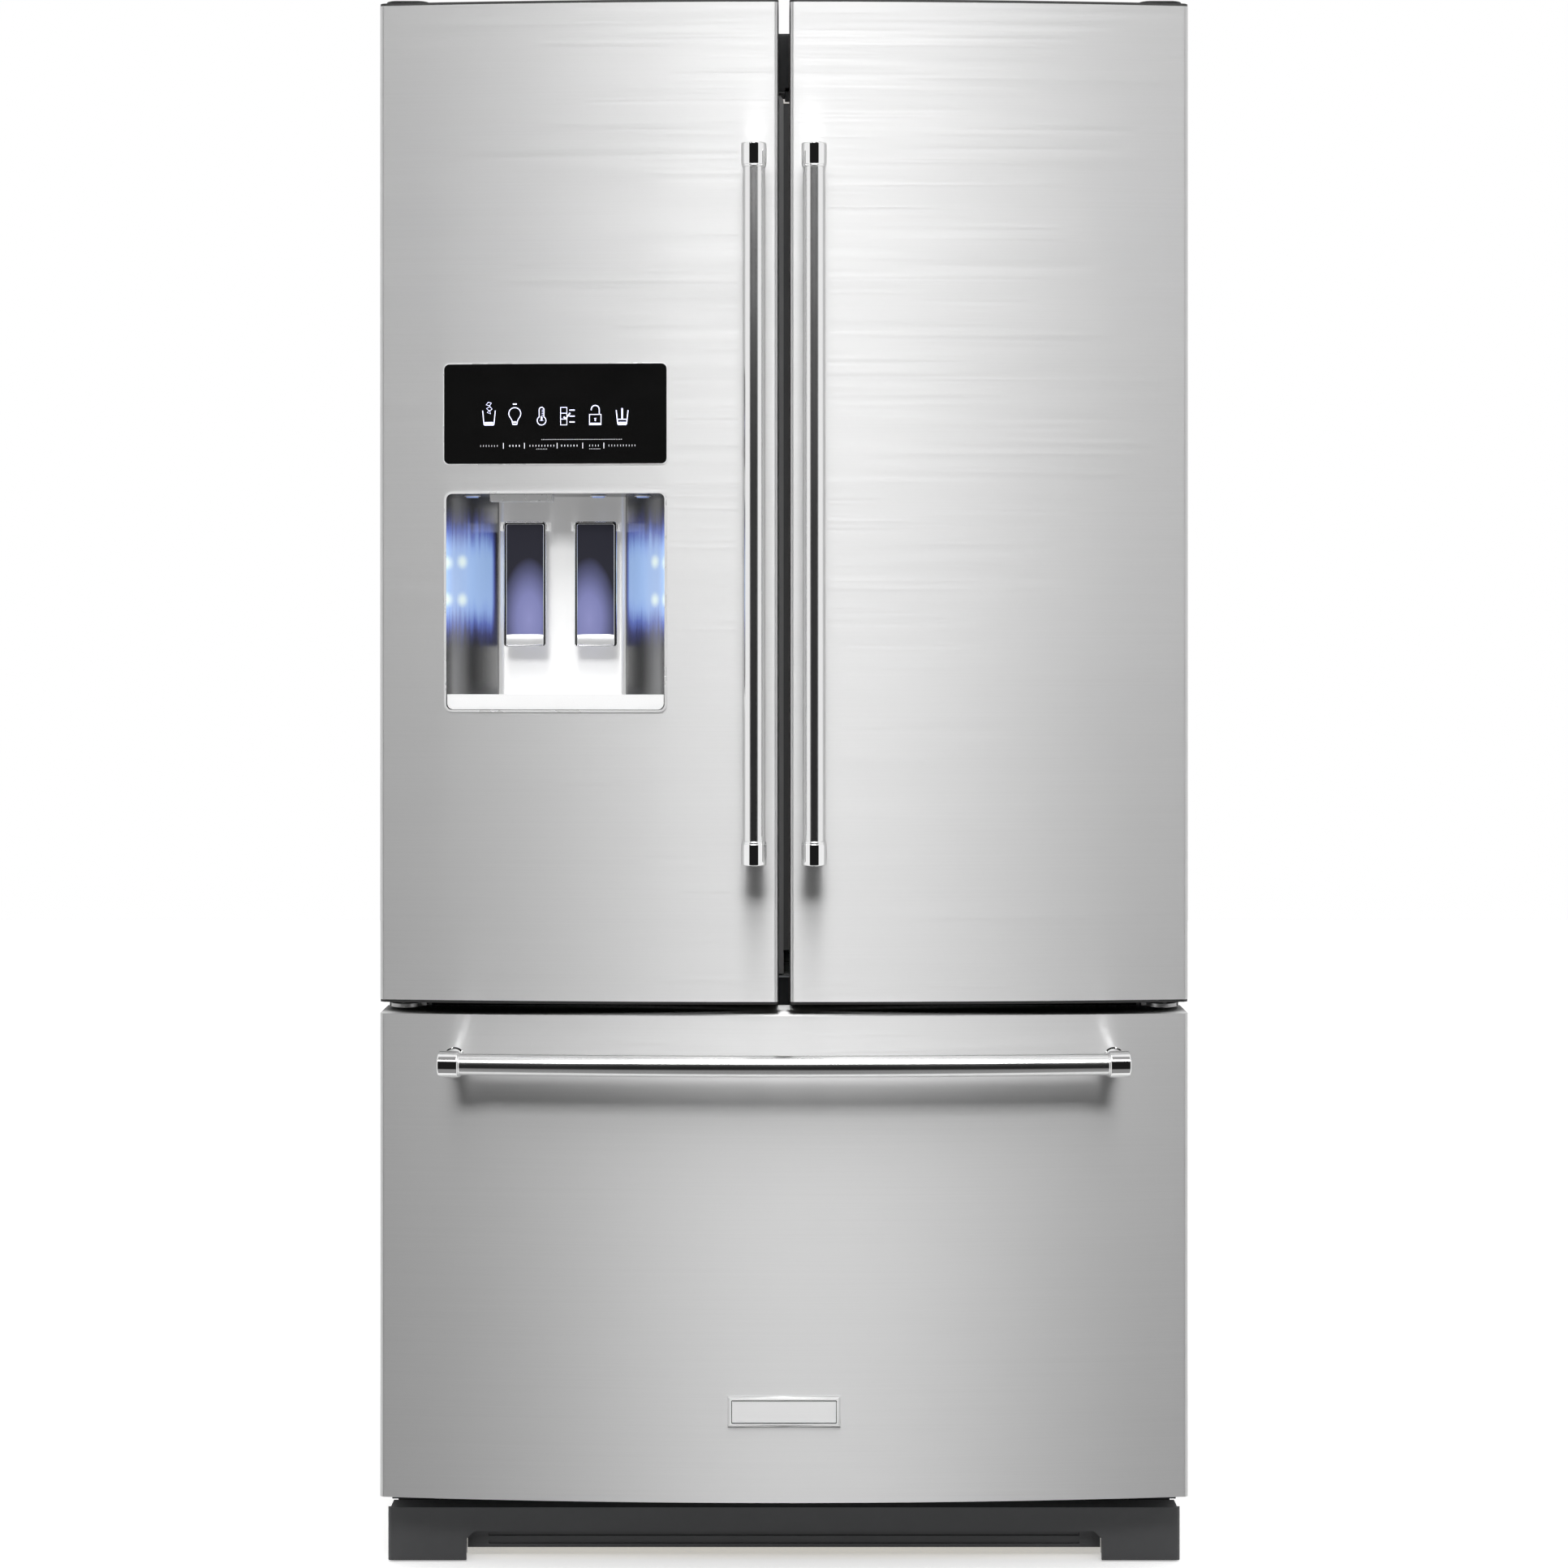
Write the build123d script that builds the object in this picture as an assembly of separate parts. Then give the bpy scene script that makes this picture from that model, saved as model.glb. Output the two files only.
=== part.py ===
from build123d import *
from math import sqrt
import os

# French door refrigerator. Millimetres, +X right, -Y out of the front, +Z up.
# The origin is on the floor, at the middle of the overall width and depth.

# ---- driving dimensions: cabinet ----
CABINET_WIDTH = 899.0
CABINET_DEPTH = 745.0
CABINET_TOP = 1743.0
CABINET_BOTTOM = 62.0
STEEL = 1.5
LINER = 2.0
FOAM_DEPTH = 737.0
INNER_HALF_WIDTH = 402.5
FRESH_FLOOR = 662.0
FRESH_CEILING = 1698.0
FRESH_LIP_CEILING = 1726.0
LIP_STEP = 52.0
FRESH_DEPTH = 640.0
FREEZER_FLOOR = 114.0
FREEZER_CEILING = 600.0
FREEZER_DEPTH = 530.0
MACHINE_ROOM_TOP = 335.0
MACHINE_ROOM_FRONT = 560.0

# ---- driving dimensions: doors and drawer ----
DOORS_WIDTH = 905.0
DOOR_GAP = 12.0
DOOR_TOP = 1760.0
DOOR_BOTTOM = 642.6
DRAWER_TOP = 630.0
DRAWER_BOTTOM = 89.0
GASKET = 12.0
DOOR_EDGE_DEPTH = 84.0
BOW = 24.0
SKIN = 1.0
CAP_PLATE = 3.0
CAP_DEPTH = 26.0
DYKE = 38.0

# ---- driving dimensions: handles ----
HANDLE_OFFSET = 50.0
BAR_RADIUS = 12.0
FERRULE_RADIUS = 13.8
FERRULE_LENGTH = 24.5
STANDOFF_RADIUS = 11.0
STANDOFF_FOOT_RADIUS = 12.0
DOOR_HANDLE_X = 33.0
DOOR_HANDLE_BOTTOM = 801.5
DOOR_HANDLE_TOP = 1591.5
DRAWER_HANDLE_Z = 581.6
DRAWER_HANDLE_HALF = 379.4

# ---- driving dimensions: hinges and mullion ----
HINGE_X = 427.0
HINGE_BEHIND_FLANGE = -48.0
PIN_RADIUS = 5.0
PIN_CLEARANCE = 0.05
MULLION_LEFT = -40.0
MULLION_RIGHT = -0.5
MULLION_DEPTH = 20.0
MULLION_BOTTOM = 664.5
MULLION_TOP = 1673.0
MULLION_PIVOT_X = -44.0
MULLION_PIN_RADIUS = 2.0
LUG_RADIUS = 3.7
LUG_HEIGHTS = (760.0, 1160.0, 1560.0)
SEAL_LIP_RIGHT = 30.0

# ---- driving dimensions: dispenser ----
DISPENSER_LEFT = -379.5
DISPENSER_RIGHT = -130.5
PANEL_BOTTOM = 1244.0
PANEL_TOP = 1355.3
NICHE_BOTTOM = 967.3
NICHE_TOP = 1213.3
NICHE_DEPTH = 99.0
NICHE_WALL = 2.5
LIP_HEIGHT = 19.7
PADDLE_WIDTH = 48.0
PADDLE_TOP = 1182.0
PADDLE_BOTTOM = 1040.0
ICE_PADDLE_X = -293.6
WATER_PADDLE_X = -213.4
PADDLE_PIN_RADIUS = 2.5
PADDLE_DEPTH = 7.0
PADDLE_BEFORE_FLANGE = 42.0
BACK_PLATE_X = -253.0
BACK_PLATE_HALF = 73.0
BACK_PLATE_BEFORE_FLANGE = 16.0
LAMP_OFFSETS = (-96.0, 46.0, 96.0)

# ---- driving dimensions: shelves, bins and drawers ----
SHELF_HEIGHTS = (1060.0, 1260.0, 1460.0)
SHELF_FRONT = 212.0
SHELF_BACK = 628.0
CRISPER_TOP = 905.0
DAIRY_PIN_BEHIND_FLANGE = 94.0
DAIRY_PIN_Z = 1634.0
DAIRY_PIN_RADIUS = 2.0
BASKET_BACK = 490.0
BASKET_TOP = 400.0
TRAY_BACK = 410.0
TRAY_FLOOR = 430.0

# ---- driving dimensions: base ----
FOOT_RADIUS = 19.0
ROLLER_RADIUS = 20.0
ROLLER_BORE = 4.06
GRILLE_HALF_WIDTH = 450.0
GRILLE_TOP = 62.0
VALVE_X = -370.0
VALVE_Z = 120.0
STUB_RADIUS = 5.5
GLAND_X = 395.0
GLAND_Z = 250.0

# ---- derived places ----
FRONT_REACH = DOOR_EDGE_DEPTH + BOW + HANDLE_OFFSET + FERRULE_RADIUS
FLANGE = (FRONT_REACH - CABINET_DEPTH) / 2
REAR = FLANGE + CABINET_DEPTH
DOOR_BACK = FLANGE - GASKET
HALF_CABINET = CABINET_WIDTH / 2
HALF_DOORS = DOORS_WIDTH / 2
INNER_EDGE = DOOR_GAP / 2
BOW_RADIUS = (HALF_DOORS**2 + BOW**2) / (2 * BOW)
BOW_CENTRE = FLANGE - DOOR_EDGE_DEPTH - BOW + BOW_RADIUS
HINGE_Y = FLANGE + HINGE_BEHIND_FLANGE
PIVOT_Y = FLANGE + MULLION_DEPTH / 2
NICHE_X = (DISPENSER_LEFT + DISPENSER_RIGHT) / 2
NICHE_HALF = (DISPENSER_RIGHT - DISPENSER_LEFT) / 2
WELL_FLOOR = NICHE_BOTTOM + NICHE_WALL
WELL_CEILING = NICHE_TOP - NICHE_WALL
BACK_PLATE_Y = FLANGE - BACK_PLATE_BEFORE_FLANGE
PADDLE_Y = FLANGE - PADDLE_BEFORE_FLANGE
DAIRY_PIN_Y = FLANGE + DAIRY_PIN_BEHIND_FLANGE


# ---- helpers ----
def block(x0, x1, y0, y1, z0, z1):
    """A box between two corners."""
    centre = ((x0 + x1) / 2, (y0 + y1) / 2, (z0 + z1) / 2)
    return Pos(*centre) * Box(abs(x1 - x0), abs(y1 - y0), abs(z1 - z0))


def rod(radius, start, end):
    """A round bar from start to end."""
    line = Vector(*end) - Vector(*start)
    return extrude(Plane(origin=start, z_dir=line) * Circle(radius), line.length)


def window(x0, x1, z0, z1, y0, y1, corner):
    """A round-cornered prism along Y."""
    outline = RectangleRounded(x1 - x0, z1 - z0, corner)
    plane = Plane(origin=((x0 + x1) / 2, y1, (z0 + z1) / 2), x_dir=(1, 0, 0), z_dir=(0, -1, 0))
    return extrude(plane * outline, y1 - y0)


def ring(x0, x1, z0, z1, y0, y1, width, corner=6.0):
    """A rectangular frame in the XZ plane."""
    hole = window(x0 + width, x1 - width, z0 + width, z1 - width, y0 - 1, y1 + 1, max(corner - width, 1))
    return window(x0, x1, z0, z1, y0, y1, corner) - hole


def bow_y(x, inset=0.0):
    """Y of the bowed front, at a depth behind its outer surface."""
    return BOW_CENTRE - sqrt((BOW_RADIUS - inset) ** 2 - x**2)


def bowed(x0, x1, z0, z1, inset=0.0, back=DOOR_BACK, edge=0.0):
    """A slab with a flat back and the doors' bowed front, its front edges rounded."""
    arc = ThreePointArc(
        (x1, bow_y(x1, inset)),
        ((x0 + x1) / 2, bow_y((x0 + x1) / 2, inset)),
        (x0, bow_y(x0, inset)),
    )
    sides = Polyline((x0, bow_y(x0, inset)), (x0, back), (x1, back), (x1, bow_y(x1, inset)))
    plan = make_face(sides + arc)
    if edge:
        plan = fillet(plan.vertices().sort_by(Axis.Y)[:2], edge)
    return extrude(Pos(0, 0, z0) * plan, z1 - z0)


def bowed_sheet(x0, x1, z0, z1, outer, inner):
    """A sheet that follows the bow between two depths."""
    back = bow_y(HALF_DOORS) + 60
    return bowed(x0, x1, z0, z1, outer, back) - bowed(x0 - 1, x1 + 1, z0 - 1, z1 + 1, inner, back + 1)


def tray(x0, x1, y0, y1, z0, z1, wall, corner=14.0):
    """An open-topped bin with round corners."""
    width = x1 - x0
    depth = y1 - y0
    centre = Pos((x0 + x1) / 2, (y0 + y1) / 2, z0)
    outer = extrude(centre * RectangleRounded(width, depth, corner), z1 - z0)
    room = RectangleRounded(width - 2 * wall, depth - 2 * wall, corner - wall)
    return outer - extrude(Pos(0, 0, wall) * centre * room, z1 - z0)


def mirrored(shape, side):
    """The shape as drawn for the right side, or its mirror image on the left."""
    return shape if side > 0 else mirror(shape, about=Plane.YZ)


# ---- cabinet ----
def cabinet_wrapper():
    inner = HALF_CABINET - STEEL
    shell = block(-HALF_CABINET, HALF_CABINET, FLANGE, REAR - STEEL, CABINET_BOTTOM, CABINET_TOP)
    shell -= block(-inner, inner, FLANGE - 1, REAR, CABINET_BOTTOM - 1, CABINET_TOP - STEEL)
    flange = block(-inner, inner, FLANGE, FLANGE + STEEL, CABINET_BOTTOM, CABINET_TOP - STEEL)
    lining = INNER_HALF_WIDTH + LINER
    for low, high in ((FREEZER_FLOOR, FREEZER_CEILING), (FRESH_FLOOR, FRESH_LIP_CEILING)):
        flange -= block(-lining, lining, FLANGE - 1, FLANGE + 3, low - LINER, high + LINER)
    return shell + flange


def rear_panel():
    y = FLANGE + FOAM_DEPTH
    width = HALF_CABINET - STEEL
    panel = block(-width, width, y, y + 1, MACHINE_ROOM_TOP, CABINET_TOP - STEEL)
    for x in (-270, 0, 270):
        panel += window(x - 22, x + 22, 420, 1660, y, y + 5, 21)
    return panel


def foam_insulation():
    front = FLANGE + STEEL
    back = FLANGE + FOAM_DEPTH
    side = HALF_CABINET - STEEL
    lining = INNER_HALF_WIDTH + LINER
    slabs = [
        block(s * lining, s * side, front, back, CABINET_BOTTOM, CABINET_TOP - STEEL) for s in (-1, 1)
    ]
    fit = lining - 0.1
    step = FLANGE + LIP_STEP + LINER
    slabs.append(block(-fit, fit, front, step - 0.1, FRESH_LIP_CEILING + LINER, CABINET_TOP - STEEL))
    slabs.append(block(-fit, fit, step, back, FRESH_CEILING + LINER, CABINET_TOP - STEEL))
    slabs.append(block(-fit, fit, front, back, FREEZER_CEILING + LINER, FRESH_FLOOR - LINER))
    slabs.append(block(-fit, fit, front, FLANGE + MACHINE_ROOM_FRONT, CABINET_BOTTOM, FREEZER_FLOOR - LINER))
    fresh_back = FLANGE + FRESH_DEPTH + LINER
    slabs.append(block(-fit, fit, fresh_back, back, FRESH_FLOOR - 1.9, FRESH_CEILING + 1.9))
    freezer_back = FLANGE + FREEZER_DEPTH + LINER
    slabs.append(block(-fit, fit, freezer_back, back, MACHINE_ROOM_TOP, FREEZER_CEILING + 1.9))
    machine_wall = FLANGE + MACHINE_ROOM_FRONT
    slabs.append(block(-fit, fit, freezer_back, machine_wall, FREEZER_FLOOR - 1.9, MACHINE_ROOM_TOP - 0.1))
    return slabs


def liner_box(floor, ceiling, depth):
    outer = INNER_HALF_WIDTH + LINER
    y0 = FLANGE + STEEL
    y1 = FLANGE + depth
    box = block(-outer, outer, y0, y1 + LINER, floor - LINER, ceiling + LINER)
    room = extrude(
        Plane(origin=(0, y0 - 1, (floor + ceiling) / 2), x_dir=(1, 0, 0), z_dir=(0, 1, 0))
        * RectangleRounded(2 * INNER_HALF_WIDTH, ceiling - floor, 14),
        y1 - y0 + 1,
    )
    return box - room


def fresh_food_liner():
    liner = liner_box(FRESH_FLOOR, FRESH_CEILING, FRESH_DEPTH)
    # the ceiling steps up just behind the front flange
    front = FLANGE + STEEL
    step = FLANGE + LIP_STEP
    outer = INNER_HALF_WIDTH + LINER
    liner += block(-outer, outer, front, step + LINER, FRESH_CEILING, FRESH_LIP_CEILING + LINER)
    inner = INNER_HALF_WIDTH
    liner -= block(-inner, inner, front - 1, step, FRESH_CEILING - 20, FRESH_LIP_CEILING)
    # block above the folding mullion, where its top is guided
    guide = block(-56, 12, FLANGE + 4, FLANGE + 46, MULLION_TOP + 3, FRESH_LIP_CEILING + 0.5)
    groove = block(-47, -41, FLANGE + 3, FLANGE + 34, MULLION_TOP + 2, MULLION_TOP + 9)
    return liner + (guide - groove)


def freezer_liner():
    return liner_box(FREEZER_FLOOR, FREEZER_CEILING, FREEZER_DEPTH)


def door_hinges():
    parts = []
    for side in (-1, 1):
        base = block(398, 445, FLANGE + 22, FLANGE + 108, CABINET_TOP, CABINET_TOP + 3.5)
        riser = block(404, 444, FLANGE + 14, FLANGE + 26, CABINET_TOP, DOOR_TOP + 4.5)
        arm = block(410, 444, HINGE_Y, FLANGE + 20, DOOR_TOP + 1, DOOR_TOP + 4.5)
        nose = Pos(HINGE_X, HINGE_Y, DOOR_TOP + 1) * extrude(Circle(17), 3.5)
        pin = rod(PIN_RADIUS, (HINGE_X, HINGE_Y, DOOR_TOP - 22), (HINGE_X, HINGE_Y, DOOR_TOP + 2))
        top = base + riser + arm + nose + pin
        for y in (48, 88):
            top += rod(6, (422, FLANGE + y, CABINET_TOP + 3), (422, FLANGE + y, CABINET_TOP + 8))
        parts.append(mirrored(top, side))
        plate = block(404, 446, HINGE_Y, FLANGE, DRAWER_TOP + 4, DRAWER_TOP + 8)
        plate += Pos(HINGE_X, HINGE_Y, DRAWER_TOP + 4) * extrude(Circle(17), 4)
        plate += block(404, 446, FLANGE - 3, FLANGE, DRAWER_TOP - 4, DRAWER_TOP + 8)
        low_pin = (HINGE_X, HINGE_Y, DRAWER_TOP + 6)
        plate += rod(PIN_RADIUS, low_pin, (HINGE_X, HINGE_Y, DOOR_BOTTOM + 20))
        parts.append(mirrored(plate, side))
    return parts


def hinge_covers():
    covers = []
    for side in (-1, 1):
        y0 = FLANGE + 10
        y1 = FLANGE + 126
        top = CABINET_TOP + 38
        hood = block(390, 448.5, y0, y1, CABINET_TOP, top)
        hood = fillet(hood.edges().filter_by(Axis.Z), 8)
        hood = fillet(hood.faces().sort_by(Axis.Z)[-1].edges(), 5)
        hood -= block(393, 445.5, y0 + 3, y1 - 3, CABINET_TOP - 1, top - 3)
        hood -= block(400, 446, y0 - 2, y0 + 5, CABINET_TOP - 1, DOOR_TOP + 5)
        tongue = block(400, 448.5, HINGE_Y - 18, y0 + 1, DOOR_TOP + 5, DOOR_TOP + 6.8)
        tongue = fillet(tongue.edges().filter_by(Axis.Z).sort_by(Axis.Y)[:2], 14)
        covers.append(mirrored(hood + tongue, side))
    return covers


def shelf_tracks():
    """Two slotted steel ladders on the rear wall for the shelf brackets."""
    tracks = []
    y = FLANGE + FRESH_DEPTH
    for x in (-150, 150):
        track = block(x - 9, x + 9, y - 5, y, 960, 1660)
        for step in range(22):
            z = 985 + 30 * step
            track -= block(x - 2, x + 2, y - 6, y - 2, z, z + 14)
        tracks.append(track)
    return tracks


def shelf_spans():
    for z in SHELF_HEIGHTS:
        yield -397, -4, z
        yield 4, 397, z
    yield -397, 397, CRISPER_TOP + 8


def glass_shelves():
    y0 = FLANGE + SHELF_FRONT
    y1 = FLANGE + SHELF_BACK
    return [block(x0 + 6, x1 - 6, y0 + 8, y1 - 8, z, z + 4) for x0, x1, z in shelf_spans()]


def shelf_frames():
    """A rim round each pane, with brackets to the ladders under the upper shelves."""
    frames = []
    y0 = FLANGE + SHELF_FRONT
    y1 = FLANGE + SHELF_BACK
    for x0, x1, z in shelf_spans():
        rim = block(x0, x1, y0, y1, z - 5, z + 8)
        rim -= block(x0 + 12, x1 - 12, y0 + 16, y1 - 14, z - 6, z + 9)
        rim -= block(x0 + 6, x1 - 6, y0 + 8, y1 - 8, z, z + 4)
        rim -= block(x0 + 12, x1 - 12, y0 + 12, y1 - 12, z + 3, z + 9)
        frames.append(rim)
    return frames


def air_duct_cover():
    """A tall cover on the rear wall with outlet slots between the ladders."""
    y = FLANGE + FRESH_DEPTH
    cover = window(-110, 110, 950, 1650, y - 9, y, 20)
    for step in range(6):
        z = 1010 + 110 * step
        cover -= window(-70, 70, z, z + 12, y - 10, y - 4, 5)
    return cover


def cabinet_lamps():
    """A ceiling lamp and one strip low on each side wall."""
    y = FLANGE + 120
    lamps = [block(-110, 110, y, y + 46, FRESH_CEILING - 7, FRESH_CEILING)]
    for side in (-1, 1):
        wall = side * INNER_HALF_WIDTH
        lamps.append(block(wall - side * 5, wall, y, y + 22, 1000, 1560))
    return lamps


def toe_grille():
    """A slotted plinth with deep corner blocks, and a panel set back under its middle."""
    front = FLANGE - 34
    half_cut = 361
    skirt = block(-GRILLE_HALF_WIDTH, GRILLE_HALF_WIDTH, front, front + 5, 2, GRILLE_TOP)
    skirt = fillet(skirt.edges().filter_by(Axis.Z).sort_by(Axis.Y)[:2], 4)
    legs = []
    for side in (-1, 1):
        x1 = GRILLE_HALF_WIDTH - 3
        legs.append(mirrored(block(half_cut + 2, x1, front + 4, FLANGE - 4, 2, GRILLE_TOP - 3), side))
    skirt += legs[0] + legs[1]
    skirt += block(-x1, x1, front + 4, FLANGE - 4, GRILLE_TOP - 4, GRILLE_TOP)
    cut = block(-half_cut, half_cut, front - 1, front + 6, 1, 35)
    cut = chamfer(cut.edges().filter_by(Axis.Y).sort_by(Axis.Z)[-2:], 9)
    skirt -= cut
    panel = block(-half_cut, half_cut, front + 16, front + 20, 12, GRILLE_TOP - 4.2)
    for step in range(3):
        z = 16 + 9 * step
        panel -= block(-half_cut + 24, half_cut - 24, front + 15, front + 17.5, z, z + 4)
    return [skirt, panel]


def chassis_rails():
    """Two side rails under the cabinet, with the roller forks and axles, and two cross members."""
    rails = []
    for side in (-1, 1):
        rail = block(396, 443, FLANGE + 4, REAR - 8, 25, CABINET_BOTTOM)
        rail -= block(395, 440, FLANGE + 3, REAR - 7, 28, CABINET_BOTTOM - 3)
        axle_y = REAR - 60
        rail -= block(406.8, 433.2, axle_y - 26, axle_y + 26, 24, 29)
        rail -= rod(6.2, (415, FLANGE + 34, 20), (415, FLANGE + 34, 30))
        for x in (403.5, 433.5):
            rail += block(x, x + 3, axle_y - 10, axle_y + 10, 11, 26)
        rail += rod(4, (404, axle_y, ROLLER_RADIUS), (436, axle_y, ROLLER_RADIUS))
        rails.append(mirrored(rail, side))
    for y in (FLANGE + 60, FLANGE + MACHINE_ROOM_FRONT + 20):
        rails.append(block(-395.9, 395.9, y, y + 40, 40, CABINET_BOTTOM))
    return rails


def leveling_feet():
    feet = []
    for side in (-1, 1):
        y = FLANGE + 34
        pad = Pos(415, y, 0) * extrude(Circle(FOOT_RADIUS), 9)
        pad = chamfer(pad.edges().sort_by(Axis.Z)[-1:], 3)
        foot = pad + rod(5.8, (415, y, 8), (415, y, 50))
        nut = Pos(415, y, 14) * extrude(RegularPolygon(10, 6), 8)
        feet.append(mirrored(foot + nut, side))
    return feet


def rear_rollers():
    rollers = []
    for side in (-1, 1):
        y = REAR - 60
        wheel = rod(ROLLER_RADIUS, (409, y, ROLLER_RADIUS), (431, y, ROLLER_RADIUS))
        wheel = chamfer(wheel.edges().filter_by(GeomType.CIRCLE), 2)
        wheel -= rod(ROLLER_BORE, (400, y, ROLLER_RADIUS), (440, y, ROLLER_RADIUS))
        rollers.append(mirrored(wheel, side))
    return rollers


def compressor():
    """The sealed compressor on its base plate, with three pipe stubs."""
    y = FLANGE + 655
    base = block(140, 330, y - 60, y + 60, 64, 68)
    for dx in (-78, 78):
        for dy in (-42, 42):
            base += rod(11, (235 + dx, y + dy, 67), (235 + dx, y + dy, 80))
    plate = block(145, 325, y - 55, y + 55, 80, 83)
    shell = Pos(235, y, 83) * extrude(Circle(63), 150)
    shell = fillet(shell.edges().sort_by(Axis.Z)[-1:], 34)
    shell += Pos(235, y, 150) * extrude(Circle(66), 5)
    for dx in (-20, 0, 20):
        shell += rod(3.5, (235 + dx, y - 50, 120), (235 + dx, y - 82, 120))
    return base + plate + shell


def machine_cover():
    """The vented rear cover of the machine compartment."""
    y = FLANGE + FOAM_DEPTH
    cover = block(-440, 440, y + 2, y + 4, 66, MACHINE_ROOM_TOP - 3)
    cover += ring(-440, 440, 66, MACHINE_ROOM_TOP - 3, y + 2, y + 8, 9)
    for left in (-330, 90):
        for step in range(12):
            z = 110 + 16 * step
            for x in (left, left + 125):
                cover -= window(x, x + 112, z, z + 6, y, y + 9, 2.9)
    cover -= rod(14, (VALVE_X, y, VALVE_Z), (VALVE_X, y + 9, VALVE_Z))
    cover -= rod(11, (GLAND_X, y, GLAND_Z), (GLAND_X, y + 9, GLAND_Z))
    return cover


def cord_gland():
    """The rubber bush for the supply lead."""
    y = FLANGE + FOAM_DEPTH
    gland = None
    for radius, start, end in ((14, 0.4, 1.9), (10.8, 1.8, 4.2), (13, 4.1, 7.8)):
        collar = rod(radius, (GLAND_X, y + start, GLAND_Z), (GLAND_X, y + end, GLAND_Z))
        gland = collar if gland is None else gland + collar
    return gland - rod(4.2, (GLAND_X, y - 1, GLAND_Z), (GLAND_X, y + 9, GLAND_Z))


def water_inlet():
    """The inlet valve with its threaded stub through the rear cover."""
    y = FLANGE + FOAM_DEPTH
    x = VALVE_X
    z = VALVE_Z
    valve = block(x - 20, x + 20, y - 48, y - 10, z - 24, z + 30)
    valve += rod(15, (x, y - 28, z + 29), (x, y - 28, z + 58))
    valve += rod(9, (x, y - 11, z), (x, y - 6, z))
    return valve + rod(STUB_RADIUS, (x, y - 7, z), (x, REAR - 0.5, z))


def freezer_rails():
    """Fixed channels on the freezer's side walls."""
    rails = []
    for side in (-1, 1):
        rail = block(386, INNER_HALF_WIDTH, FLANGE + 12, FLANGE + 520, 300, 338)
        rail -= block(385, 399, FLANGE + 11, FLANGE + 521, 303, 335)
        rails.append(mirrored(rail, side))
    return rails


# ---- doors ----
def door_span(side):
    """The door's left and right edges."""
    return (INNER_EDGE, HALF_DOORS) if side > 0 else (-HALF_DOORS, -INNER_EDGE)


def door_skin(side):
    """A folded steel face with side returns, notched at the free edge for the end caps."""
    x0, x1 = door_span(side)
    z0 = DOOR_BOTTOM + CAP_PLATE
    z1 = DOOR_TOP - CAP_PLATE
    skin = bowed(x0, x1, z0, z1, edge=5)
    skin -= bowed(x0 + SKIN, x1 - SKIN, z0 - 1, z1 + 1, SKIN, DOOR_BACK + 1, edge=4)
    for low, high in ((z0 - 1, z0 + 19), (z1 - 19, z1 + 1)):
        free_edge = side * INNER_EDGE
        skin -= block(free_edge - side, free_edge + side * 2, bow_y(0) + 8, DOOR_BACK + 1, low, high)
    return skin


def left_door_skin():
    front = bow_y(0) - 5
    skin = door_skin(-1)
    skin -= window(DISPENSER_LEFT, DISPENSER_RIGHT, NICHE_BOTTOM, NICHE_TOP, front, DOOR_BACK - 20, 9)
    return skin - window(DISPENSER_LEFT, DISPENSER_RIGHT, PANEL_BOTTOM, PANEL_TOP, front, DOOR_BACK - 20, 6)


def door_heights():
    """Bottom and top of the foam between the two end caps."""
    return DOOR_BOTTOM + CAP_DEPTH, DOOR_TOP - CAP_DEPTH


def left_door_foam():
    """Foam in convex blocks round the dispenser niche and the ice chute."""
    x0, x1 = door_span(-1)
    x0 += SKIN
    x1 -= SKIN
    z0, z1 = door_heights()
    back = DOOR_BACK - LINER
    left = DISPENSER_LEFT - 2
    right = DISPENSER_RIGHT + 2
    over = NICHE_TOP + 0.1
    chute_left = NICHE_X - 80
    chute_right = NICHE_X
    return [
        bowed(x0, left - 0.1, z0, z1, SKIN, back, edge=4),
        bowed(right + 0.1, x1, z0, z1, SKIN, back, edge=4),
        bowed(left, right, z0, NICHE_BOTTOM - 0.1, SKIN, back),
        bowed(left, right, PANEL_TOP + 1, z1, SKIN, back),
        bowed(left, chute_left, over, PANEL_TOP + 0.9, 9, back),
        bowed(chute_right, right, over, PANEL_TOP + 0.9, 9, back),
        bowed(chute_left + 0.1, chute_right - 0.1, 1292, PANEL_TOP + 0.9, 9, back),
    ]


def right_door_foam():
    x0, x1 = door_span(1)
    z0, z1 = door_heights()
    return bowed(x0 + SKIN, x1 - SKIN, z0, z1, SKIN, DOOR_BACK - LINER, edge=4)


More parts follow.
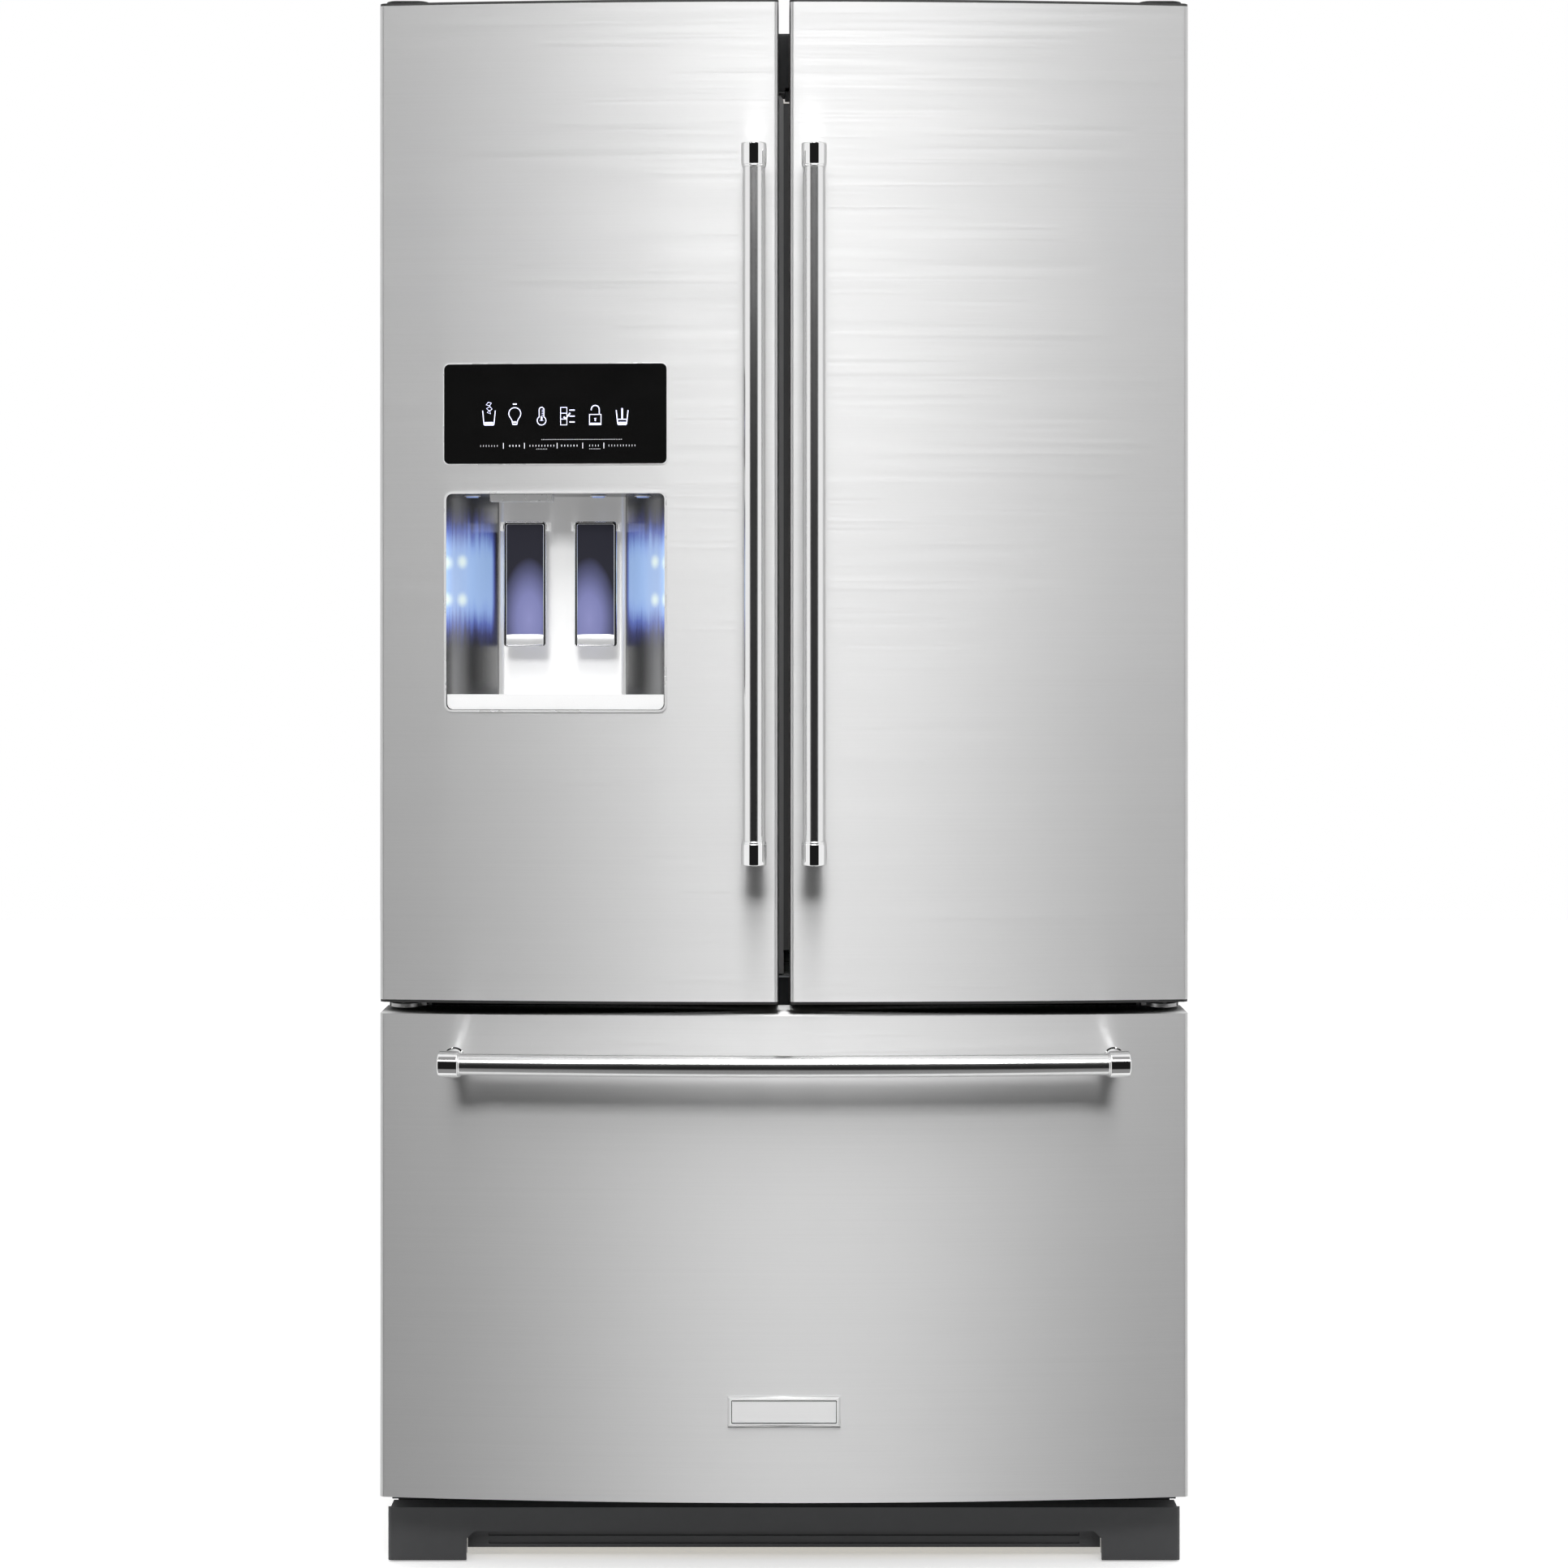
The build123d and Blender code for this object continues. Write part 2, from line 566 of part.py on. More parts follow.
def door_caps(side):
    """Moulded end caps: a plate over the skin's edge and a plug inside it, bored for the hinge pins."""
    x0, x1 = door_span(side)
    caps = []
    for low in (True, False):
        z0 = DOOR_BOTTOM if low else DOOR_TOP - CAP_PLATE
        plug0 = z0 + CAP_PLATE if low else DOOR_TOP - CAP_DEPTH + 0.1
        plug1 = DOOR_BOTTOM + CAP_DEPTH - 0.1 if low else DOOR_TOP - CAP_PLATE
        cap = bowed(x0, x1, z0, z0 + CAP_PLATE, 0.6, edge=8)
        cap += bowed(x0 + SKIN, x1 - SKIN, plug0, plug1, SKIN, DOOR_BACK, edge=4)
        free_edge = side * INNER_EDGE
        wall = block(free_edge, free_edge + side * 3, bow_y(0) + 8.4, DOOR_BACK, plug0, plug0 + 18.6)
        if not low:
            wall = block(free_edge, free_edge + side * 3, bow_y(0) + 8.4, DOOR_BACK, plug1 - 18.6, plug1)
        cap += wall
        bore_end = DOOR_BOTTOM + 22 if low else DOOR_TOP - 24
        bore_start = z0 - 1 if low else DOOR_TOP + 1
        pin = (side * HINGE_X, HINGE_Y)
        caps.append(cap - rod(PIN_RADIUS + PIN_CLEARANCE, (*pin, bore_start), (*pin, bore_end)))
    return caps


def door_liner(side):
    """A thin inner panel between the end caps, with a foam-filled ridge near each side."""
    x0, x1 = door_span(side)
    z0, z1 = door_heights()
    parts = [block(x0 + SKIN, x1 - SKIN, DOOR_BACK - LINER, DOOR_BACK, z0, z1)]
    for near, far in ((61, 83), (386.5, 400)):
        ridge = block(near, far, DOOR_BACK, DOOR_BACK + DYKE, 692, 1680)
        ridge = chamfer(ridge.edges().filter_by(Axis.Z).sort_by(Axis.Y)[-2:], 5)
        parts.append(mirrored(ridge, side))
    return parts


def mullion_lug(z):
    """A lug on the door's inner panel, bored for a mullion pin."""
    lug = Pos(MULLION_PIVOT_X, PIVOT_Y, z) * extrude(Circle(LUG_RADIUS), 12)
    lug += block(
        MULLION_PIVOT_X - LUG_RADIUS, MULLION_PIVOT_X + LUG_RADIUS, DOOR_BACK, PIVOT_Y, z, z + 12
    )
    bore = MULLION_PIN_RADIUS + PIN_CLEARANCE
    return lug - rod(bore, (MULLION_PIVOT_X, PIVOT_Y, z - 1), (MULLION_PIVOT_X, PIVOT_Y, z + 13))


def left_door_liner():
    """The left inner panel, open behind the niche and for the ice chute, with the mullion's lugs."""
    panel, *ridges = door_liner(-1)
    back = DOOR_BACK + 1
    front = DOOR_BACK - LINER - 1
    panel -= block(DISPENSER_LEFT - 2, DISPENSER_RIGHT + 2, front, back, NICHE_BOTTOM - 2, NICHE_TOP + 2)
    panel -= block(NICHE_X - 75.1, NICHE_X - 4.9, front, back, NICHE_TOP + 36, NICHE_TOP + 74.1)
    return [panel, *ridges] + [mullion_lug(z) for z in LUG_HEIGHTS]


def gasket(x0, x1, z0, z1):
    """A magnetic seal: a wide base with a narrower bellows."""
    base = ring(x0, x1, z0, z1, DOOR_BACK, DOOR_BACK + 4, 17)
    seal = ring(x0 + 3, x1 - 3, z0 + 3, z1 - 3, DOOR_BACK + 3.9, FLANGE - 0.3, 11)
    return base + seal


def left_door_gasket():
    return gasket(-425, -20, 646, 1742)


def right_door_gasket():
    return gasket(20, 425, 646, 1742)


def handle_bar_y(x):
    return bow_y(x) - HANDLE_OFFSET


def door_handle_bar(side):
    x = side * DOOR_HANDLE_X
    y = handle_bar_y(x)
    low = DOOR_HANDLE_BOTTOM + FERRULE_LENGTH
    high = DOOR_HANDLE_TOP - FERRULE_LENGTH
    return rod(BAR_RADIUS, (x, y, low), (x, y, high))


def door_handle_ends(side):
    """Polished end sleeves, each with a standoff and a round foot on the door."""
    x = side * DOOR_HANDLE_X
    y = handle_bar_y(x)
    ends = []
    for z in (DOOR_HANDLE_BOTTOM, DOOR_HANDLE_TOP - FERRULE_LENGTH):
        sleeve = rod(FERRULE_RADIUS, (x, y, z), (x, y, z + FERRULE_LENGTH))
        sleeve = fillet(sleeve.edges().filter_by(GeomType.CIRCLE), 1.6)
        middle = z + FERRULE_LENGTH / 2
        sleeve += rod(STANDOFF_RADIUS, (x, y, middle), (x, bow_y(x) - 1.6, middle))
        foot = rod(STANDOFF_FOOT_RADIUS, (x, bow_y(x) - 2, middle), (x, bow_y(x) + 0.6, middle))
        ends.append(sleeve + (foot - bowed(-100, 100, z - 5, z + 40, 0)))
    return ends


# ---- dispenser ----
def control_panel():
    """Black glass over a thin bezel, flush in the door above the niche."""
    sheet = bowed_sheet(DISPENSER_LEFT - 5, DISPENSER_RIGHT + 5, PANEL_BOTTOM - 5, PANEL_TOP + 5, -0.4, 8)
    sides = (DISPENSER_LEFT, DISPENSER_RIGHT, PANEL_BOTTOM, PANEL_TOP)
    return window(*sides, bow_y(0) - 5, DOOR_BACK - 20, 6) & sheet


def niche_plan(inset):
    """A half ellipse behind a straight throat."""
    centre_y = bow_y(DISPENSER_LEFT) + 2
    ellipse = Pos(NICHE_X, centre_y) * Ellipse(NICHE_HALF - inset, NICHE_DEPTH - inset)
    front = bow_y(0) - 30
    throat = Pos(NICHE_X, (centre_y + front) / 2) * Rectangle(2 * (NICHE_HALF - inset), centre_y - front)
    return ellipse + throat


def dispenser_well():
    """The curved niche, closed above and below, cut to the door's bow."""
    height = NICHE_TOP - NICHE_BOTTOM
    well = extrude(Pos(0, 0, NICHE_BOTTOM) * niche_plan(0.1), height)
    well -= extrude(Pos(0, 0, NICHE_BOTTOM + NICHE_WALL) * niche_plan(NICHE_WALL), height - 2 * NICHE_WALL)
    well &= bowed(-420, -90, NICHE_BOTTOM, NICHE_TOP, SKIN + 0.05, FLANGE + 20)
    chute = block(NICHE_X - 75.1, NICHE_X - 4.9, FLANGE - 75.1, FLANGE - 46.9, NICHE_TOP - 6, NICHE_TOP + 1)
    return well - chute


def dispenser_trim():
    """A thin bright rim round the opening."""
    back = DOOR_BACK - 30
    front = bow_y(0) - 5
    rim = ring(DISPENSER_LEFT, DISPENSER_RIGHT, NICHE_BOTTOM, NICHE_TOP, front, back, 2.4, 9)
    sheet = bowed_sheet(DISPENSER_LEFT - 5, DISPENSER_RIGHT + 5, NICHE_BOTTOM - 5, NICHE_TOP + 5, -1.2, 0.5)
    return rim & sheet


def dispenser_back_plate():
    """A flat plate standing proud of the curved wall, with two ears for each paddle's pin."""
    x0 = BACK_PLATE_X - BACK_PLATE_HALF
    x1 = BACK_PLATE_X + BACK_PLATE_HALF
    plate = block(x0, x1, BACK_PLATE_Y, BACK_PLATE_Y + 30, WELL_FLOOR + 12, WELL_CEILING)
    plate = fillet(plate.edges().filter_by(Axis.Z).sort_by(Axis.Y)[:2], 7)
    plate &= extrude(Pos(0, 0, NICHE_BOTTOM) * niche_plan(NICHE_WALL + 0.05), NICHE_TOP - NICHE_BOTTOM)
    bore = PADDLE_PIN_RADIUS + PIN_CLEARANCE
    pin_y = PADDLE_Y + PADDLE_DEPTH / 2
    pin_z = PADDLE_TOP - 6
    for x in (ICE_PADDLE_X, WATER_PADDLE_X):
        for side in (-1, 1):
            inner = x + side * (PADDLE_WIDTH / 2 + 0.6)
            ear = block(inner, inner + side * 3, pin_y - 5, BACK_PLATE_Y + 1, pin_z - 5, pin_z + 5)
            ear -= rod(bore, (x - 40, pin_y, pin_z), (x + 40, pin_y, pin_z))
            plate += ear
    return plate


def paddle(x):
    """A push paddle hung on a pin at its top."""
    x0 = x - PADDLE_WIDTH / 2
    x1 = x + PADDLE_WIDTH / 2
    body = window(x0, x1, PADDLE_BOTTOM, PADDLE_TOP, PADDLE_Y, PADDLE_Y + PADDLE_DEPTH, 5)
    pin_y = PADDLE_Y + PADDLE_DEPTH / 2
    pin_z = PADDLE_TOP - 6
    reach = PADDLE_WIDTH / 2 + 3.2
    return body + rod(PADDLE_PIN_RADIUS, (x - reach, pin_y, pin_z), (x + reach, pin_y, pin_z))


def drip_tray():
    """A half-moon tray with a front lip, which pulls straight out."""
    plan = niche_plan(NICHE_WALL + 0.6)
    pan = extrude(Pos(0, 0, WELL_FLOOR + 0.4) * plan, 7)
    pan -= extrude(Pos(0, 0, WELL_FLOOR + 2) * niche_plan(NICHE_WALL + 3), 9)
    pan &= bowed(-420, -90, NICHE_BOTTOM, NICHE_TOP, 3, FLANGE + 20)
    left = DISPENSER_LEFT + NICHE_WALL + 0.8
    right = DISPENSER_RIGHT - NICHE_WALL - 0.8
    lip = bowed_sheet(left - 5, right + 5, WELL_FLOOR + 0.4, NICHE_BOTTOM + LIP_HEIGHT, 1.2, 9)
    # the lower corners are rounded to pass through the rim
    outline = window(left, right, WELL_FLOOR + 0.4, NICHE_BOTTOM + 60, bow_y(0) - 5, FLANGE + 20, 7)
    return outline & (pan + lip)


def ice_chute():
    """A slanting duct from the ice compartment, ending in a lip under the niche's ceiling."""
    x0 = NICHE_X - 75
    x1 = NICHE_X - 5
    slope = Polyline(
        (FLANGE - 75, NICHE_TOP - 10),
        (FLANGE - 47, NICHE_TOP - 10),
        (FLANGE - 47, NICHE_TOP + 12),
        (DOOR_BACK, NICHE_TOP + 42),
        (DOOR_BACK, NICHE_TOP + 74),
        (FLANGE - 75, NICHE_TOP + 30),
        (FLANGE - 75, NICHE_TOP - 10),
    )
    side_view = Plane.YZ * make_face(slope)
    duct = extrude(Pos(x0, 0, 0) * side_view, x1 - x0)
    room = extrude(Pos(x0 + 2, 0, 0) * Plane.YZ * offset(make_face(slope), -2), x1 - x0 - 4)
    room += block(x0 + 2, x1 - 2, FLANGE - 73, FLANGE - 49, NICHE_TOP - 12, NICHE_TOP)
    room += block(x0 + 2, x1 - 2, DOOR_BACK - 6, DOOR_BACK + 1, NICHE_TOP + 46, NICHE_TOP + 68)
    return duct - room


def dispenser_lamps():
    """Three small lamps in the niche's ceiling."""
    y = FLANGE - 62
    return [
        rod(7, (NICHE_X + dx, y, WELL_CEILING - 3), (NICHE_X + dx, y, WELL_CEILING)) for dx in LAMP_OFFSETS
    ]


def ice_compartment():
    """The insulated ice box on the left door's inner side, with its bulge over the niche."""
    left = -385
    right = -87
    back = DOOR_BACK + 0.1
    wall = 12
    housing = block(left, right, back, FLANGE + 132, 1236, 1672)
    housing = fillet(housing.edges().filter_by(Axis.Z).sort_by(Axis.Y)[-2:], 16)
    housing -= block(left + wall, right - wall, back + 4, FLANGE + 132 - wall, 1236 + wall, 1672 - wall)
    housing -= block(NICHE_X - 72, NICHE_X - 8, back - 1, back + 5, NICHE_TOP + 46, NICHE_TOP + 68)
    lid = window(left + 14, right - 14, 1250, 1658, FLANGE + 131, FLANGE + 137, 12)
    grip = window(right - 52, right - 30, 1420, 1490, FLANGE + 136, FLANGE + 142, 6)
    bulge = block(left, right - 37, back, FLANGE + 15, 957, 1235.9)
    bulge -= block(left + 3, right - 40, back - 1, FLANGE + 12, 960, 1233)
    return [housing + lid + grip, bulge]


def door_bins(side, heights):
    """Clear bins hung between the ridges."""
    bins = []
    front = FLANGE + 98
    for low, high in heights:
        shape = tray(83.5, 386, DOOR_BACK + 0.5, front, low, high, 3)
        bins.append(mirrored(shape, side))
    return bins


def left_door_bins():
    return door_bins(-1, ((700, 788), (845, 930)))


def right_door_bins():
    return door_bins(1, ((700, 788), (880, 965), (1060, 1145), (1240, 1325)))


def dairy_box():
    """A box with an open face under the top of the right door."""
    box = block(90, 380, DOOR_BACK + 0.5, FLANGE + 90, 1520, 1640)
    return box - block(93, 377, DOOR_BACK + 3.5, FLANGE + 91, 1523, 1637)


def right_door_fittings():
    box = dairy_box()
    for x in (87, 380):
        ear = block(x, x + 3, FLANGE + 80, FLANGE + 98, DAIRY_PIN_Z - 5, DAIRY_PIN_Z + 5)
        pin = (DAIRY_PIN_Y, DAIRY_PIN_Z)
        ear -= rod(DAIRY_PIN_RADIUS + PIN_CLEARANCE, (x - 1, *pin), (x + 4, *pin))
        box += ear
    return right_door_bins() + [box]


def dairy_lid():
    """A clear flap hung on pins at its top edge."""
    flap = block(90.4, 379.6, DAIRY_PIN_Y - 2, DAIRY_PIN_Y + 2, 1524, DAIRY_PIN_Z + 2)
    flap += block(195, 275, DAIRY_PIN_Y + 1, DAIRY_PIN_Y + 9, 1526, 1534)
    return flap + rod(DAIRY_PIN_RADIUS, (87.2, DAIRY_PIN_Y, DAIRY_PIN_Z), (382.8, DAIRY_PIN_Y, DAIRY_PIN_Z))


# ---- folding mullion ----
def mullion_bar():
    """The hinged bar that closes the gap between the doors, with knuckles on its pins."""
    bar = block(MULLION_LEFT, MULLION_RIGHT, FLANGE, FLANGE + MULLION_DEPTH, MULLION_BOTTOM, MULLION_TOP)
    bar = fillet(bar.edges().filter_by(Axis.Y).sort_by(Axis.Z)[-2:], 9)
    for z in LUG_HEIGHTS:
        pin = (MULLION_PIVOT_X, PIVOT_Y)
        bar += rod(MULLION_PIN_RADIUS, (*pin, z - 8), (*pin, z + 20))
        for low in (z - 8.4, z + 12.4):
            bar += Pos(*pin, low) * extrude(Circle(LUG_RADIUS), 8)
            bar += block(MULLION_PIVOT_X, MULLION_LEFT + 1, PIVOT_Y - 2.5, PIVOT_Y + 2.5, low, low + 8)
    return bar


def mullion_seal_lip():
    """A flexible fin that reaches behind the right door's gasket."""
    low = MULLION_BOTTOM + 27
    return block(MULLION_RIGHT, SEAL_LIP_RIGHT, FLANGE + 0.3, FLANGE + 3.3, low, MULLION_TOP - 10)


# ---- freezer drawer ----
def freezer_drawer_skin():
    skin = bowed(-HALF_DOORS, HALF_DOORS, DRAWER_BOTTOM, DRAWER_TOP, edge=5)
    inner = HALF_DOORS - SKIN
    return skin - bowed(-inner, inner, DRAWER_BOTTOM + SKIN, DRAWER_TOP - SKIN, SKIN, DOOR_BACK + 1, edge=4)


def freezer_drawer_foam():
    inner = HALF_DOORS - SKIN
    return bowed(-inner, inner, DRAWER_BOTTOM + SKIN, DRAWER_TOP - SKIN, SKIN, DOOR_BACK, edge=4)


def freezer_gasket():
    return gasket(-425, 425, 93, 622)


def drawer_handle_arc(half_width, radius, z):
    """A bar concentric with the drawer's bow."""
    bar_radius = BOW_RADIUS + HANDLE_OFFSET
    rise = sqrt(bar_radius**2 - half_width**2)
    ends = [(s * half_width, BOW_CENTRE - rise, z) for s in (-1, 1)]
    path = ThreePointArc(ends[0], (0, BOW_CENTRE - bar_radius, z), ends[1])
    return sweep(Plane(origin=path @ 0, z_dir=path % 0) * Circle(radius), path=path)


def freezer_handle_bar():
    return drawer_handle_arc(DRAWER_HANDLE_HALF - 23, BAR_RADIUS, DRAWER_HANDLE_Z)


def freezer_handle_ends():
    """End sleeves along the bow, each with a standoff and a round foot on the drawer."""
    ends = []
    z = DRAWER_HANDLE_Z
    bar_radius = BOW_RADIUS + HANDLE_OFFSET
    for side in (-1, 1):
        points = []
        for x in (DRAWER_HANDLE_HALF - 22.9, DRAWER_HANDLE_HALF):
            points.append((side * x, BOW_CENTRE - sqrt(bar_radius**2 - x**2), z))
        sleeve = rod(FERRULE_RADIUS + 0.9, points[0], points[1])
        sleeve = fillet(sleeve.edges().filter_by(GeomType.CIRCLE), 1.6)
        x = side * (DRAWER_HANDLE_HALF - 11.5)
        sleeve += rod(STANDOFF_RADIUS, (x, handle_bar_y(x), z), (x, bow_y(x) - 1.6, z))
        foot = rod(STANDOFF_FOOT_RADIUS, (x, bow_y(x) - 2, z), (x, bow_y(x) + 1, z))
        ends.append(sleeve + (foot - bowed(min(x, 0) - 20, max(x, 0) + 20, z - 20, z + 20, 0)))
    return ends


def badge():
    """A small blank plate with bevelled edges, following the bow."""
    plate = block(-62.75, 62.75, bow_y(0) - 3, bow_y(0) + 0.6, 174, 208)
    plate = chamfer(plate.faces().sort_by(Axis.Y)[0].edges(), 2.2)
    return plate - bowed(-70, 70, 170, 212, 0, DOOR_BACK)


def freezer_basket():
    """The deep lower basket with the moving slides fixed to its sides, bracketed to the front panel."""
    basket = tray(-366, 366, FLANGE + 8, FLANGE + BASKET_BACK, 128, BASKET_TOP, 3.5, 20)
    for side in (-1, 1):
        slide = block(379, 397, FLANGE + 2, FLANGE + BASKET_BACK, 306, 332)
        shelf = block(365.5, 380, FLANGE + 20, FLANGE + BASKET_BACK - 30, 315, 323)
        tab = block(352, 397, DOOR_BACK + 0.1, FLANGE + 8.2, 290, 350)
        ledge = block(359, 379, FLANGE + 20, FLANGE + BASKET_BACK - 20, BASKET_TOP - 12, BASKET_TOP - 4)
        # the upper tray's runners stand on the basket's rim
        runner = block(357, 365, FLANGE + 20, FLANGE + BASKET_BACK - 20, BASKET_TOP - 4, TRAY_FLOOR + 6)
        basket += mirrored(slide + shelf + tab + ledge + runner, side)
    return basket


def freezer_tray():
    """The shallow upper tray, which slides back along the basket's runners."""
    pan = tray(-340, 340, FLANGE + 16, FLANGE + TRAY_BACK, TRAY_FLOOR, 520, 3, 16)
    for side in (-1, 1):
        wing = block(339, 372, FLANGE + 30, FLANGE + TRAY_BACK - 20, TRAY_FLOOR + 6.4, TRAY_FLOOR + 10)
        pan += mirrored(wing, side)
    return pan


def crisper(side):
    """A vegetable drawer with a lipped front."""
    bin_ = tray(6, 394, FLANGE + 186, FLANGE + 600, 668, CRISPER_TOP - 15, 3, 14)
    front = window(4, 396, 665, CRISPER_TOP - 4, FLANGE + 172, FLANGE + 186.5, 8)
    front -= window(60, 340, CRISPER_TOP - 36, CRISPER_TOP - 14, FLANGE + 171, FLANGE + 182, 8)
    return mirrored(bin_ + front, side)


NODES = {
    "cabinet_wrapper": cabinet_wrapper,
    "rear_panel": rear_panel,
    "foam_insulation": foam_insulation,
    "fresh_food_liner": fresh_food_liner,
    "freezer_liner": freezer_liner,
    "door_hinges": door_hinges,
    "hinge_covers": hinge_covers,
    "shelf_tracks": shelf_tracks,
    "glass_shelves": glass_shelves,
    "shelf_frames": shelf_frames,
    "air_duct_cover": air_duct_cover,
    "cabinet_lamps": cabinet_lamps,
    "toe_grille": toe_grille,
    "chassis_rails": chassis_rails,
    "leveling_feet": leveling_feet,
    "rear_rollers": rear_rollers,
    "compressor": compressor,
    "machine_cover": machine_cover,
    "cord_gland": cord_gland,
    "water_inlet": water_inlet,
    "freezer_rails": freezer_rails,
    "left_door_skin": left_door_skin,
    "left_door_foam": left_door_foam,
    "left_door_liner": left_door_liner,
    "left_door_caps": lambda: door_caps(-1),
    "left_door_gasket": left_door_gasket,
    "left_handle_bar": lambda: door_handle_bar(-1),
    "left_handle_ends": lambda: door_handle_ends(-1),
    "left_door_bins": left_door_bins,
    "ice_compartment": ice_compartment,
    "control_panel": control_panel,
    "dispenser_well": dispenser_well,
    "dispenser_trim": dispenser_trim,
    "dispenser_back_plate": dispenser_back_plate,
    "dispenser_lamps": dispenser_lamps,
    "ice_chute": ice_chute,
    "ice_paddle": lambda: paddle(ICE_PADDLE_X),
    "water_paddle": lambda: paddle(WATER_PADDLE_X),
    "drip_tray": drip_tray,
    "mullion_bar": mullion_bar,
    "mullion_seal_lip": mullion_seal_lip,
    "right_door_skin": lambda: door_skin(1),
    "right_door_foam": right_door_foam,
    "right_door_liner": lambda: door_liner(1),
    "right_door_caps": lambda: door_caps(1),
    "right_door_gasket": right_door_gasket,
    "right_handle_bar": lambda: door_handle_bar(1),
    "right_handle_ends": lambda: door_handle_ends(1),
    "right_door_bins": right_door_fittings,
    "dairy_lid": dairy_lid,
    "freezer_drawer_skin": freezer_drawer_skin,
    "freezer_drawer_foam": freezer_drawer_foam,
    "freezer_gasket": freezer_gasket,
    "freezer_handle_bar": freezer_handle_bar,
    "freezer_handle_ends": freezer_handle_ends,
    "badge": badge,
    "freezer_basket": freezer_basket,
    "freezer_tray": freezer_tray,
    "crisper_left": lambda: crisper(-1),
    "crisper_right": lambda: crisper(1),
}

os.makedirs("parts", exist_ok=True)
for name, make in NODES.items():
    made = make()
    pieces = made if isinstance(made, list) else [made]
    solids = [solid for piece in pieces for solid in piece.solids()]
    export_step(Compound(children=solids), f"parts/{name}.step")
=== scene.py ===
import math

import bmesh
import bpy
from mathutils import Matrix, Vector


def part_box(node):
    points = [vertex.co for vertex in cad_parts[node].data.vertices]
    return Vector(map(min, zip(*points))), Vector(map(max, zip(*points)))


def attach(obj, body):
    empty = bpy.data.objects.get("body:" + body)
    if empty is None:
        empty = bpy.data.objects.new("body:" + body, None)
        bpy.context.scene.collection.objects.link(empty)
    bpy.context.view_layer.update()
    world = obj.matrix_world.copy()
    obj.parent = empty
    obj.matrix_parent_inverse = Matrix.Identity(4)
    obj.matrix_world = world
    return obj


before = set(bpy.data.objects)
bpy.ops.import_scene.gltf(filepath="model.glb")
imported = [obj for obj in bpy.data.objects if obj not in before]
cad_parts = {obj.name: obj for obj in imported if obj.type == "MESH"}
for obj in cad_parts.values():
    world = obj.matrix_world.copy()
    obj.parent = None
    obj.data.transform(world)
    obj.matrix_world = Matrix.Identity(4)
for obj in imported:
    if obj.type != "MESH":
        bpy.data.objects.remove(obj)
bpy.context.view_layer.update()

# Looks for the french door refrigerator. Metres, +X right, -Y out of the front, +Z up.
MM = 0.001

# ---- places taken from the frame ----
DRAWER_LOW, DRAWER_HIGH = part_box("freezer_drawer_skin")
PANEL_LOW, PANEL_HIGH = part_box("control_panel")
TRIM_LOW, TRIM_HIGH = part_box("dispenser_trim")
HALF_WIDTH = DRAWER_HIGH.x
BOW = 24 * MM
BOW_RADIUS = (HALF_WIDTH**2 + BOW**2) / (2 * BOW)
BOW_CENTRE = DRAWER_LOW.y + BOW_RADIUS
NICHE_X = (TRIM_LOW.x + TRIM_HIGH.x) / 2
PANEL_X = (PANEL_LOW.x + PANEL_HIGH.x) / 2

# ---- camera and studio ----
CAMERA_DISTANCE = 3.276
CAMERA_HEIGHT = 1.062
CAMERA_LENS = 67.7
CAMERA_SHIFT = -0.10
FLOOR_SIZE = 14.0
PATCH_SIDE = (38, 46)  # degrees to each side where the dark patch ahead gives way to white
PATCH_TOP = (36, 48)
PATCH_BOTTOM = (30, 40)
PATCH_LEVEL = 0.012
SIDE_LEVEL = 0.92
FLOOR_LEVEL = 0.25
FLOOR_GLOW = 0.4
CEILING_LEVEL = 0.3
STRIP_LEVEL = 5.0
STRIP_MIDDLE = 2.0  # degrees to the right
STRIP_REACH = 24.0
SOFTBOX_PLACE = (0.2, -3.4, 3.0)
SOFTBOX_AIM = (0.1, -0.4, 1.5)
SOFTBOX_SIZE = (5.0, 0.7)
SOFTBOX_SPREAD = 85.0
SOFTBOX_POWER = 23.0

BLACK = (0, 0, 0, 1)
WHITE = (1, 1, 1, 1)


def bow_y(x):
    """Y of the doors' bowed front."""
    return BOW_CENTRE - math.sqrt(BOW_RADIUS**2 - x**2)


def grey(value):
    return (value, value, value, 1)


# ---- node helpers ----
class Tree:
    """Adds nodes to a tree and sets or links their sockets by name."""

    def __init__(self, tree):
        self.tree = tree

    def add(self, kind, settings=None, **sockets):
        node = self.tree.nodes.new("ShaderNode" + kind)
        for name, value in (settings or {}).items():
            setattr(node, name, value)
        for name, value in sockets.items():
            self.put(node.inputs[int(name[1:]) if name[1:].isdigit() else name.replace("_", " ")], value)
        return node

    def put(self, socket, value):
        if isinstance(value, bpy.types.NodeSocket):
            self.tree.links.new(value, socket)
        else:
            socket.default_value = value

    def math(self, operation, a, b=0.0):
        return self.add("Math", {"operation": operation}, i0=a, i1=b).outputs[0]

    def step(self, value, low, high):
        """A smooth step from 0 at low to 1 at high."""
        settings = {"interpolation_type": "SMOOTHSTEP"}
        node = self.add("MapRange", settings, Value=value, From_Min=low, From_Max=high)
        return node.outputs["Result"]

    def blend(self, factor, a, b):
        node = self.add("Mix", {"data_type": "RGBA"}, i0=factor, i6=a, i7=b)
        return node.outputs[2]

    def ramp(self, value, stops):
        node = self.add("ValToRGB", None, Fac=value)
        elements = node.color_ramp.elements
        while len(elements) < len(stops):
            elements.new(0.5)
        for element, (place, color) in zip(elements, stops):
            element.position = place
            element.color = color
        return node.outputs["Color"]


